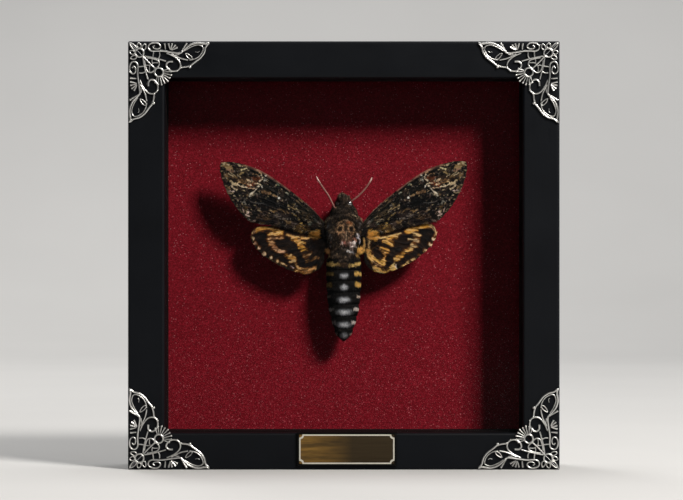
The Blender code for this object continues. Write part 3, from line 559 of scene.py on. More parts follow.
def corner_lines():
    """The ribs of one corner as lines in millimetres from its outer tip: along one side, then the other."""
    outer = [(25.2, 4.3), (28.3, 1.7), (31.9, 0.6), (35.8, 1.0), (37.3, 0.5),
             (35.8, 2.4), (35.1, 5.0), (33.3, 7.5), (30.8, 9.4), (29.0, 10.9)]
    inner = [(25.9, 4.3), (28.6, 2.6), (31.9, 1.5), (34.3, 2.3), (34.4, 4.2),
             (32.9, 6.6), (30.7, 8.0), (28.3, 8.5)]
    leg = [
        stroke(outer, 0.46, 46), stroke(inner, 0.28, 34),
        (leaf((29.4, 8.1), (26.5, 5.4), 1.4), True, 0.24),
        stroke([(30.9, 4.7), (32.2, 4.9), (32.9, 4.4)], 0.22, 8, (0.6, 0.8)),
        stroke([(24.8, 4.2), (26.0, 2.2), (27.1, 0.6)], 0.42, 8, (0.6, 1.2)),
        stroke([(27.6, 8.5), (24.4, 7.8), (21.6, 6.6), (19.9, 5.6)], 0.34, 14),
        stroke([(25.2, 4.3), (23.8, 5.3), (19.9, 4.9), (15.6, 4.3), (10.8, 4.3), (9.2, 2.9), (9.7, 1.3),
                (11.6, 0.6), (13.8, 0.8), (14.9, 2.2), (13.9, 3.3), (12.1, 3.2), (11.3, 2.4), (12.2, 1.8)],
               0.42, 60, (1.1, 0.7)),
        stroke([(23.6, 5.9), (20.5, 6.2), (17.6, 5.4)], 0.26, 10, (1.0, 0.6)),
        stroke([(17.1, 3.7), (17.0, 2.2), (16.8, 0.8)], 0.38, 7, (0.7, 1.3)),
        stroke([(19.4, 3.8), (18.9, 2.2), (18.6, 0.8)], 0.36, 7, (0.6, 1.3)),
        stroke([(19.6, 3.8), (19.9, 2.2), (20.3, 0.9)], 0.36, 7, (0.6, 1.3)),
        stroke([(19.8, 3.8), (20.9, 2.6), (21.8, 1.4)], 0.36, 7, (0.6, 1.3)),
        stroke([(20.0, 3.9), (21.4, 3.3), (22.7, 2.5)], 0.36, 7, (0.6, 1.3)),
        stroke([(18.0, 5.4), (20.8, 6.7), (23.4, 8.8), (24.1, 11.2), (22.9, 13.2), (20.3, 13.6), (18.2, 12.4),
                (17.5, 10.6), (18.6, 9.3), (20.6, 9.2)], 0.44, 42, (0.7, 1.1)),
        stroke([(29.0, 10.9), (26.8, 11.6), (24.2, 11.9)], 0.42, 9),
        stroke([(17.4, 9.0), (13.9, 8.0), (10.5, 7.2), (7.3, 6.7)], 0.34, 16),
        stroke([(14.4, 5.0), (14.5, 6.4), (13.9, 7.8)], 0.3, 7),
        stroke([(11.6, 4.6), (11.5, 5.8), (11.3, 7.2)], 0.3, 7),
        stroke([(8.6, 7.4), (11.0, 7.8), (13.6, 8.7), (14.3, 10.4), (13.2, 12.0), (11.8, 12.2)], 0.32, 22),
        stroke([(13.8, 9.8), (12.2, 9.7), (11.0, 9.9)], 0.24, 7),
        stroke([(11.0, 8.1), (10.9, 9.2), (11.2, 10.3)], 0.24, 7),
        (leaf((6.9, 3.7), (7.7, 1.0), 1.7), True, 0.27),
        (leaf((5.2, 2.9), (4.6, 0.6), 1.8), True, 0.27),
    ]
    both = leg + [(points[:, ::-1], closed, radius) for points, closed, radius in leg]
    both.append((flower_ring(FLOWER), True, 0.42))
    both.append((leaf((3.6, 3.6), (0.7, 0.7), 1.7), True, 0.3))
    both.append(stroke([(6.6, 6.6), (9.4, 9.6), (12.4, 12.4)], 0.34, 14))
    both.append((flower_ring(PALMETTE), True, 0.42))
    beads = []
    for petal in range(9):
        angle = math.radians(-19 + petal * 16)
        reach = 5.9 - 0.25 * (petal % 2) - (0.9 if petal in (0, 8) else 0.0)
        ray = np.array([math.cos(angle), math.sin(angle)])
        ray_spots = [PALMETTE + away * ray for away in (2.3, reach * 0.6, reach - 0.3)]
        both.append((np.array(ray_spots), False, np.array([0.2, 0.26, 0.3])))
        beads.append((*(PALMETTE + reach * ray), 0.5))
    for spot in ((28.5, 11.7, 0.72), (24.2, 12.0, 0.5), (24.9, 4.5, 0.62), (22.5, 13.6, 0.42)):
        beads += [spot, (spot[1], spot[0], spot[2])]
    return both, beads


ribs, beads = corner_lines()
print("one corner:", len(ribs), "ribs,", len(beads), "beads")

# %% The tree that turns lines into ribs and points into beads
sizes = {"Sides": "Int", "Beads": "Object", "Bead Detail": "Int", "Look": "Material"}
openwork, given = new_tree("openwork", sizes)
curves, radius, ring = line_inputs(openwork, given)
inputs = {"Curve": curves, "Profile Curve": ring, "Scale": radius, "Fill Caps": True}
rods = add(openwork, "GeometryNodeCurveToMesh", None, inputs).outputs[0]
bead_spots = add(openwork, "GeometryNodeObjectInfo", None, {"Object": given["Beads"]}).outputs["Geometry"]
inputs = {"Radius": 1.0, "Subdivisions": given["Bead Detail"]}
ball = add(openwork, "GeometryNodeMeshIcoSphere", None, inputs).outputs[0]
inputs = {"Points": bead_spots, "Instance": ball, "Scale": radius}
balls = add(openwork, "GeometryNodeInstanceOnPoints", None, inputs).outputs[0]
both = add(openwork, "GeometryNodeJoinGeometry")
feed(both, {0: rods})
feed(both, {0: balls})
smooth = add(openwork, "GeometryNodeSetShadeSmooth", None, {0: both.outputs[0]}).outputs[0]
end_tree(openwork, smooth, given["Look"])
print("openwork tree:", len(openwork.nodes), "nodes")

# %% One corner, laid over each of the four
RIB_BASE = 0.42
CORNER_SEAT = 0.3
CORNER_INSET = 0.3
flat = [(np.column_stack([points, np.full(len(points), RIB_BASE)]), closed, radius)
        for points, closed, radius in ribs]
bead_points = new_mesh("bead_points", [(u, v, RIB_BASE) for u, v, size in beads])
keep_radii(bead_points, [size for u, v, size in beads])
pattern = grow(line_carrier("rib_lines", flat), openwork,
               {"Sides": 8, "Beads": bead_points, "Bead Detail": 2, "Look": silver}, "corner_pattern")
bpy.data.objects.remove(bead_points)
corner_shape = vertex_rows(pattern.data)
corner_shape[:, 2] = np.maximum(corner_shape[:, 2], 0.0)
u, v, w = corner_shape.T
for end, up in (("top", 1), ("bottom", -1)):
    for side, across in SIDES:
        mesh = pattern.data.copy()
        rows = np.stack([across * (WIDTH / 2 - (u + CORNER_INSET) * MM), FRONT_Y - (CORNER_SEAT + w) * MM,
                         CENTRE_Z + up * (CENTRE_Z - (v + CORNER_INSET) * MM)], axis=1)
        mesh.vertices.foreach_set("co", rows.ravel())
        if across * up > 0:
            mesh.flip_normals()
        mesh.update()
        piece = in_scene(f"filigree_{end}_{side}", mesh)
        hand_over(piece, "old_silver", f"corner_{end}_{side}")
print("corner faces:", len(pattern.data.polygons))
bpy.data.objects.remove(pattern)

# %% [markdown]
# The plate on the bottom bar is dark bronze, brushed from side to side, with a pale line inside its
# edge whose corners curve inwards. Outside the line it is blackened. The plate is a bevelled slab, and
# the line a flat band of its own on top.

# %% Brushed bronze and the pale line
bronze, tree, shader = finish("brushed_bronze", 0.38, 0.85)
brush = noise(tree, place_of(tree, (0.02, 1.0, 1.0)), 0.0005, 5.0, 0.7)
broad = noise(tree, place_of(tree, (0.12, 1.0, 1.0)), 0.002, 3.0)
spot = split(tree, place_of(tree))
gold = mask(tree, spot[0], -0.021, 0.004, 1.0, 0.0)
gold = maths(tree, "MULTIPLY", gold, mask(tree, broad, 0.35, 0.65, 0.25, 1.0))
base = mixed(tree, brush, tone(40, 33, 24), tone(86, 72, 50))
base = mixed(tree, gold, base, tone(176, 134, 66))
low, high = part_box("plaque")
sideways = maths(tree, "ABSOLUTE", maths(tree, "SUBTRACT", spot[0], (low[0] + high[0]) / 2))
upwards = maths(tree, "ABSOLUTE", maths(tree, "SUBTRACT", spot[2], (low[2] + high[2]) / 2))
inwards = maths(tree, "MINIMUM", maths(tree, "SUBTRACT", (high[0] - low[0]) / 2, sideways),
                maths(tree, "SUBTRACT", (high[2] - low[2]) / 2, upwards))
base = mixed(tree, mask(tree, inwards, 0.00095, 0.00125), tone(16, 15, 14), base)
dye(shader, base, mask(tree, brush, 0.3, 0.7, 0.32, 0.52))
bumped(tree, shader, brush, 0.00004, 0.7)

pale, tree, shader = finish("pale_line", 0.45, 0.2)
cloud = noise(tree, place_of(tree), 0.0012, 4.0)
dye(shader, mixed(tree, cloud, tone(214, 206, 186), tone(243, 239, 226)))
bumped(tree, shader, cloud, 0.00004, 0.4)
print("plate finishes ready")

# %% The plate and its line
PLATE_BEVEL = 0.35 * MM
LINE_PROUD = 0.12 * MM
LINE_DEPTH = 0.1 * MM
NOTCH = 1.5 * MM
NOTCH_STEPS = 8


def notched(inset):
    """The outline of the plate at an inset, each corner cut by an arc that curves inwards."""
    left, right, foot, top = low[0] + inset, high[0] - inset, low[2] + inset, high[2] - inset
    outline = []
    for x, z, start in ((right, foot, 180), (right, top, 270), (left, top, 0), (left, foot, 90)):
        for k in range(NOTCH_STEPS + 1):
            angle = math.radians(start - 90 * k / NOTCH_STEPS)
            outline.append((x + NOTCH * math.cos(angle), z + NOTCH * math.sin(angle)))
    return outline


def flat_band(name, outer, inner, near, far, look):
    """A closed band between two outlines of equal count, from a near plane to a far one."""
    count = len(outer)
    spots = [(x, near, z) for x, z in outer + inner] + [(x, far, z) for x, z in outer + inner]
    faces = []
    for k in range(count):
        j = (k + 1) % count
        faces += [(k, j, count + j, count + k), (2 * count + k, 3 * count + k, 3 * count + j, 2 * count + j),
                  (k, 2 * count + k, 2 * count + j, j), (count + k, count + j, 3 * count + j, 3 * count + k)]
    made = new_mesh(name, spots, faces=faces, look=look)
    turn_outwards(made)
    return made


bm = bmesh.new()
bmesh.ops.create_cube(bm, size=1.0)
size = Vector(high) - Vector(low)
front = low[1] + LINE_PROUD
bm.transform(Matrix.Translation((Vector(low) + Vector(high)) / 2) @ Matrix.Diagonal((*size, 1.0)))
for vert in bm.verts:
    vert.co.y = max(vert.co.y, front)
front_edges = [edge for edge in bm.edges if all(v.co.y < front + 1e-6 for v in edge.verts)]
bmesh.ops.bevel(bm, geom=front_edges, offset=PLATE_BEVEL, segments=3, affect="EDGES")
plate = from_bmesh("plate", bm, bronze)
line = flat_band("plate_line", notched(0.95 * MM), notched(1.6 * MM), low[1], front + LINE_DEPTH, pale)
for piece in (plate, line):
    hand_over(piece, "old_bronze", "plaque")
print("plate", [round(v / MM, 1) for v in size], "mm")

# %% [markdown]
# A moth's colours come from tiny flat scales, so its pattern is a field of spots and strokes with
# ragged edges. The same way of painting serves wings, skin and fur: a surface has a colour at each of
# its points, and marks are laid over one another. Each mark is a line with a width, a colour and a
# strength, and its place is bent by smooth noise so that no edge is ruled.

# %% Smooth noise and painted marks


def held(values):
    """Values held between 0 and 1."""
    return np.clip(values, 0, 1)


def patchy(places, size, seed):
    """Smooth random values from -1 to 1 at rows of places, which change over about this size."""
    at = np.asarray(places, float) / size
    cell = np.floor(at).astype(np.int64)
    part = at - cell
    part = part * part * (3 - 2 * part)
    factors = np.array([73856093, 19349663, 83492791], np.int64)[:at.shape[1]]
    total = np.zeros(len(at))
    for corner in itertools.product((0, 1), repeat=at.shape[1]):
        mixed_up = ((cell + corner) * factors).sum(axis=1) + seed * 668265263
        mixed_up = (mixed_up ^ (mixed_up >> 13)) * 1274126177
        value = ((mixed_up ^ (mixed_up >> 16)) & 0xFFFF) / 32767.5 - 1
        total += value * np.prod(np.where(corner, part, 1 - part), axis=1)
    return total


def away_from(places, points):
    """The distance from each place to a line of points, in the plane."""
    points = np.asarray(points, float)
    if len(points) == 1:
        return np.linalg.norm(places - points[0], axis=1)
    nearest = np.full(len(places), np.inf)
    for start, stop in zip(points, points[1:]):
        along = stop - start
        share = held((places - start) @ along / max(along @ along, 1e-12))
        nearest = np.minimum(nearest, np.linalg.norm(places - start - share[:, None] * along, axis=1))
    return nearest


def blend_in(colours, colour, cover):
    """Lays a colour over colours by a cover from 0 to 1."""
    colours += (linear(colour) - colours) * held(cover)[:, None]


def paint(colours, places, marks, seed, bend=0.35, ragged=0.3, soft=0.16, grain_at=None):
    """Lays marks over colours. A mark is (points, width, colour, strength), in millimetres."""
    flow = np.stack([patchy(places, 1.7, seed), patchy(places, 1.7, seed + 1)], axis=1) * bend
    flow += np.stack([patchy(places, 0.6, seed + 2), patchy(places, 0.6, seed + 3)], axis=1) * bend * 0.45
    at = places + flow
    grain_at = places if grain_at is None else grain_at
    grain = patchy(grain_at, 0.32, seed + 4) * ragged + patchy(grain_at, 0.9, seed + 5) * ragged * 0.8
    wear = 0.95 + 0.6 * patchy(grain_at, 0.55, seed + 6) + 0.4 * patchy(grain_at, 1.5, seed + 7)
    wear = np.clip(wear, 0.25, 1)
    for points, width, colour, strength in marks:
        reach = away_from(at, points) + grain * min(width, 1.6)
        blend_in(colours, colour, strength * wear * held((width / 2 - reach) / soft + 0.5))


def brightened(colours, factor):
    """Colours times a factor, held back where a channel would reach white, so that ochre stays ochre."""
    made = colours * np.reshape(factor, (-1, 1))
    return made / np.maximum(made.max(axis=1) / 0.93, 1)[:, None]


def deepened(colours):
    """Colours with more contrast: the dark ones get darker and richer, and the pale ones stay."""
    return 0.5 * (held(colours) * 2) ** 1.16


def outlines(marks, extra, colour, strength):
    """The pale marks again, wider and in one colour, to lie under them as an edge."""
    return [(points, width + extra, colour, strength) for points, width, pale, _ in marks if sum(pale) > 330]


def flecks(places, size, seed, level):
    """A cover of 1 on small scattered spots and 0 between them. A higher level leaves fewer of them."""
    field = patchy(places, size, seed) + 0.5 * patchy(places, size * 0.45, seed + 1)
    return held((field - level) / 0.2)


print("painting helpers ready")

# %% [markdown]
# A wing is a curved sheet stretched between its front edge, hind edge, root and margin. Any point on
# it has two shares: how far out it lies, and how far across. The veins run out along lines of equal
# share across, so they are raised in the surface itself, with the membrane pleated between them.
# The forewings are painted in the right wing's own place, so their patterns are twins. The left
# hindwing has marks of its own, and carries painted shade near the body, where the body's shadow falls on it.

# %% The plan of each wing, in shares of its length
FORE = {
    "length": 56.5, "hinge": (10.1, 12.8), "sweep": {1: 33.3, -1: 32.8}, "heights": (13.4, 14.4), "lift": 0.9,
    "droop": 0.8, "sink": 0.65, "wear_and_painted_shade": 0.0,
    "lead": [(-0.07, -0.02), (0.02, -0.05), (0.15, -0.088), (0.385, -0.117), (0.63, -0.127), (0.785, -0.104),
             (0.93, -0.052), (1.0, 0.0)],
    "margin": [(1.0, 0.0), (0.975, 0.05), (0.905, 0.118), (0.80, 0.188), (0.675, 0.245), (0.545, 0.277)],
    "hind": [(-0.07, 0.05), (0.05, 0.088), (0.15, 0.122), (0.315, 0.179), (0.44, 0.232), (0.545, 0.277)],
    "veins": [(0.05, 0.0), (0.13, 0.0), (0.24, 0.42), (0.36, 0.46), (0.48, 0.46), (0.60, 0.46), (0.71, 0.40),
              (0.82, 0.28), (0.93, 0.0)],
    "cell": (0.46, 0.13, 0.71),
}
HIND = {
    "length": 34.2, "hinge": (9.45, 7.2), "sweep": {1: 6.0, -1: 2.8}, "heights": (12.0, 12.4), "lift": 0.5,
    "droop": 0.6, "sink": 0.0, "wear_and_painted_shade": 0.3,
    "lead": [(-0.09, -0.12), (0.2, -0.19), (0.45, -0.205), (0.66, -0.175), (0.79, -0.15), (0.9, -0.136),
             (0.962, -0.108), (0.99, -0.06), (1.0, 0.0)],
    "margin": [(1.0, 0.0), (0.983, 0.055), (0.945, 0.12), (0.90, 0.175), (0.815, 0.245), (0.72, 0.305),
               (0.62, 0.357), (0.475, 0.418), (0.36, 0.448), (0.25, 0.458)],
    "hind": [(-0.09, 0.10), (-0.02, 0.18), (-0.02, 0.27), (0.03, 0.37), (0.121, 0.425), (0.25, 0.458)],
    "veins": [(0.08, 0.0), (0.22, 0.36), (0.36, 0.42), (0.50, 0.42), (0.63, 0.34), (0.76, 0.2), (0.89, 0.0)],
    "cell": (0.42, 0.08, 0.63),
}
VEIN_WIDTH = 0.3
VEIN_RISE = 0.13
PLEAT = 0.11
SCALE_BED = 0.1
MAP_SIZE = (0.96, 0.47)
UPPER_MAP = (0.02, 0.02)
LOWER_MAP = (0.02, 0.51)
print("forewing", FORE["length"], "mm, hindwing", HIND["length"], "mm")

# %% The sheet of a wing


def turned_into_place(local, plan, sweep):
    """Turns places in the wing's own plane by its sweep, from its hinge."""
    angle = math.radians(sweep)
    across = plan["hinge"][0] + local[..., 0] * math.cos(angle) + local[..., 1] * math.sin(angle)
    along = plan["hinge"][1] + local[..., 0] * math.sin(angle) - local[..., 1] * math.cos(angle)
    return across, along


def wing_grid(plan, rows, columns):
    """The sheet's places in the wing's own plane, with the shares out and across of each."""
    length = plan["length"]
    lead = even_spline(np.array(plan["lead"]) * length, rows)[:, None]
    hind = even_spline(np.array(plan["hind"]) * length, rows)[:, None]
    margin = even_spline(np.array(plan["margin"]) * length, columns)[None]
    out = np.linspace(0, 1, rows)[:, None, None]
    across = np.linspace(0, 1, columns)[None, :, None]
    sides = lead * (1 - across) + hind * across
    root = lead[:1] * (1 - across) + hind[:1] * across
    ends = root * (1 - out) + margin * out
    front = lead[:1] * (1 - out) + lead[-1:] * out
    back = hind[:1] * (1 - out) + hind[-1:] * out
    local = sides + ends - (front * (1 - across) + back * across)
    outwards = margin - root
    outwards /= np.linalg.norm(outwards, axis=2, keepdims=True)
    stops = np.array([0.0] + [place for place, _ in plan["veins"]] + [1.0])
    after = np.clip(np.searchsorted(stops, across[0, :, 0], "right") - 1, 0, len(stops) - 2)
    between = (across[0, :, 0] - stops[after]) / (stops[after + 1] - stops[after])
    dip = 0.34 * np.sin(math.pi * between) ** 2
    near_margin = held((out - 0.93) / 0.07) ** 2
    local = local - outwards * dip[None, :, None] * near_margin
    return local, out[:, :, 0] + 0 * across[:, :, 0], across[:, :, 0] + 0 * out[:, :, 0], between


def relief(plan, local, out, across, between):
    """How far the veins stand up, and how far the pleats between them rise and fall."""
    chord = np.linalg.norm(local[:, -1] - local[:, 0], axis=1)[:, None]
    rise = np.zeros(out.shape)
    for place, start in plan["veins"]:
        near = (across - place) * chord / VEIN_WIDTH
        rise = np.maximum(rise, np.exp(-near ** 2) * held((out - start) / 0.02))
    cell_out, cell_low, cell_high = plan["cell"]
    wave = cell_out + 0.02 * np.sin(across * 23)
    near = (out - wave) * plan["length"] / VEIN_WIDTH
    inside = held((across - cell_low) / 0.03) * held((cell_high - across) / 0.03)
    rise = np.maximum(rise, np.exp(-near ** 2) * inside)
    front_edge = np.exp(-(across * chord / 0.5) ** 2)
    rise = np.maximum(rise, front_edge)
    pleat = -np.sin(math.pi * between)[None, :] * held((out - 0.2) / 0.4)
    return rise, pleat


def sheet_height(plan, local, out, across):
    """How far the middle of the sheet stands off the card, before its veins and pleats."""
    share = local[..., 0] / plan["length"]
    height = plan["heights"][0] + (plan["heights"][1] - plan["heights"][0]) * share
    height = height + plan["lift"] * np.sin(math.pi * across) * (0.4 + 0.6 * out)
    return height - plan["droop"] * np.maximum(share, 0) ** 2 - plan["sink"] * across ** 2


def wing_mesh(name, plan, sign, rows, columns, look, markings):
    """A closed wing: an upper and a lower face joined round the edge, painted by its markings."""
    local, out, across, between = wing_grid(plan, rows, columns)
    rise, pleat = relief(plan, local, out, across, between)
    x, along = turned_into_place(local, plan, plan["sweep"][sign])
    middle = sheet_height(plan, local, out, across) + PLEAT * pleat
    lumps = patchy(np.stack([x.ravel(), along.ravel()], axis=1), 2.6, 31).reshape(x.shape) * 0.05
    half = (SCALE_BED + VEIN_RISE * rise) * held((1 - out) / 0.02 + 0.45)
    upper = np.stack([sign * x, along, middle + lumps + half], axis=2).reshape(-1, 3)
    lower = np.stack([sign * x, along, middle + lumps - half], axis=2).reshape(-1, 3)
    index = np.arange(rows * columns).reshape(rows, columns)
    quads = np.stack([index[:-1, :-1], index[1:, :-1], index[1:, 1:], index[:-1, 1:]], axis=2).reshape(-1, 4)
    rim = np.concatenate([index[0, :-1], index[:-1, -1], index[-1, :0:-1], index[:0:-1, 0]])
    total = rows * columns
    walls = np.stack([rim, np.roll(rim, -1), np.roll(rim, -1) + total, rim + total], axis=1)
    faces = np.vstack([quads, quads[:, ::-1] + total, walls])
    made = mesh_of(name, placed(np.vstack([upper, lower])), faces, look)
    chart_x, chart_along = turned_into_place(local, plan, plan["sweep"][1])
    chart = np.stack([chart_x.ravel(), chart_along.ravel()], axis=1)
    colours = markings(chart, out.ravel(), across.ravel(), rise.ravel())
    if sign < 0:
        # Painted shade: the left wing is darkened on its inner hind part near the body, where the body's
        # shadow falls.
        painted_body_shade = held((across - 0.42) / 0.25) * held((1.1 - out) / 0.3)
        colours[0][:] *= 1 - plan["wear_and_painted_shade"] * painted_body_shade.reshape(-1, 1)
    tint(made, np.vstack(colours))
    shares = np.stack([out.ravel(), across.ravel()], axis=1)
    lay_map(made, np.vstack([shares * MAP_SIZE + UPPER_MAP, shares * MAP_SIZE + LOWER_MAP]))
    turn_if_inside_out(made)
    made.data.shade_smooth()
    return made


def mesh_of(name, spots, faces, look):
    """A mesh object from arrays of places and of faces that all have the same number of corners."""
    mesh = bpy.data.meshes.new(name)
    corners = faces.shape[1]
    mesh.vertices.add(len(spots))
    mesh.vertices.foreach_set("co", spots.astype(np.float32).ravel())
    mesh.loops.add(faces.size)
    mesh.loops.foreach_set("vertex_index", faces.astype(np.int32).ravel())
    mesh.polygons.add(len(faces))
    mesh.polygons.foreach_set("loop_start", np.arange(0, faces.size, corners, dtype=np.int32))
    mesh.update(calc_edges=True)
    return in_scene(name, mesh, look)


def tint(obj, colours):
    """Keeps a colour for every point of the mesh, under the name that the finishes read."""
    layer = obj.data.color_attributes.new("scale_colour", "FLOAT_COLOR", "POINT")
    rows = np.ones((len(colours), 4), np.float32)
    rows[:, :3] = colours
    layer.data.foreach_set("color", rows.ravel())


def lay_map(obj, point_places):
    """Lays a map from one place for each point of the mesh."""
    corner = np.empty(len(obj.data.loops), np.int32)
    obj.data.loops.foreach_get("vertex_index", corner)
    layer = obj.data.uv_layers.new(name="OFBake")
    layer.data.foreach_set("uv", point_places[corner].astype(np.float32).ravel())


def turn_if_inside_out(obj):
    """Turns all faces round if the closed mesh has a volume below nothing."""
    spots = vertex_rows(obj.data)
    obj.data.calc_loop_triangles()
    triangles = np.empty(len(obj.data.loop_triangles) * 3, np.int32)
    obj.data.loop_triangles.foreach_get("vertices", triangles)
    a, b, c = (spots[triangles.reshape(-1, 3)[:, k]] for k in range(3))
    if np.einsum("ij,ij->i", a, np.cross(b, c)).sum() < 0:
        obj.data.flip_normals()


print("wing builder ready")

# %% [markdown]
# The forewing is bark: nearly black, with a rust and cream field near the tip, a pale double line that
# zigzags from the front edge, one white dot, a black cloud behind it and gold scrawl nearer the body.
# Fine pale scrawls cover the rest. They follow the zero line of noise, which wanders as they do.

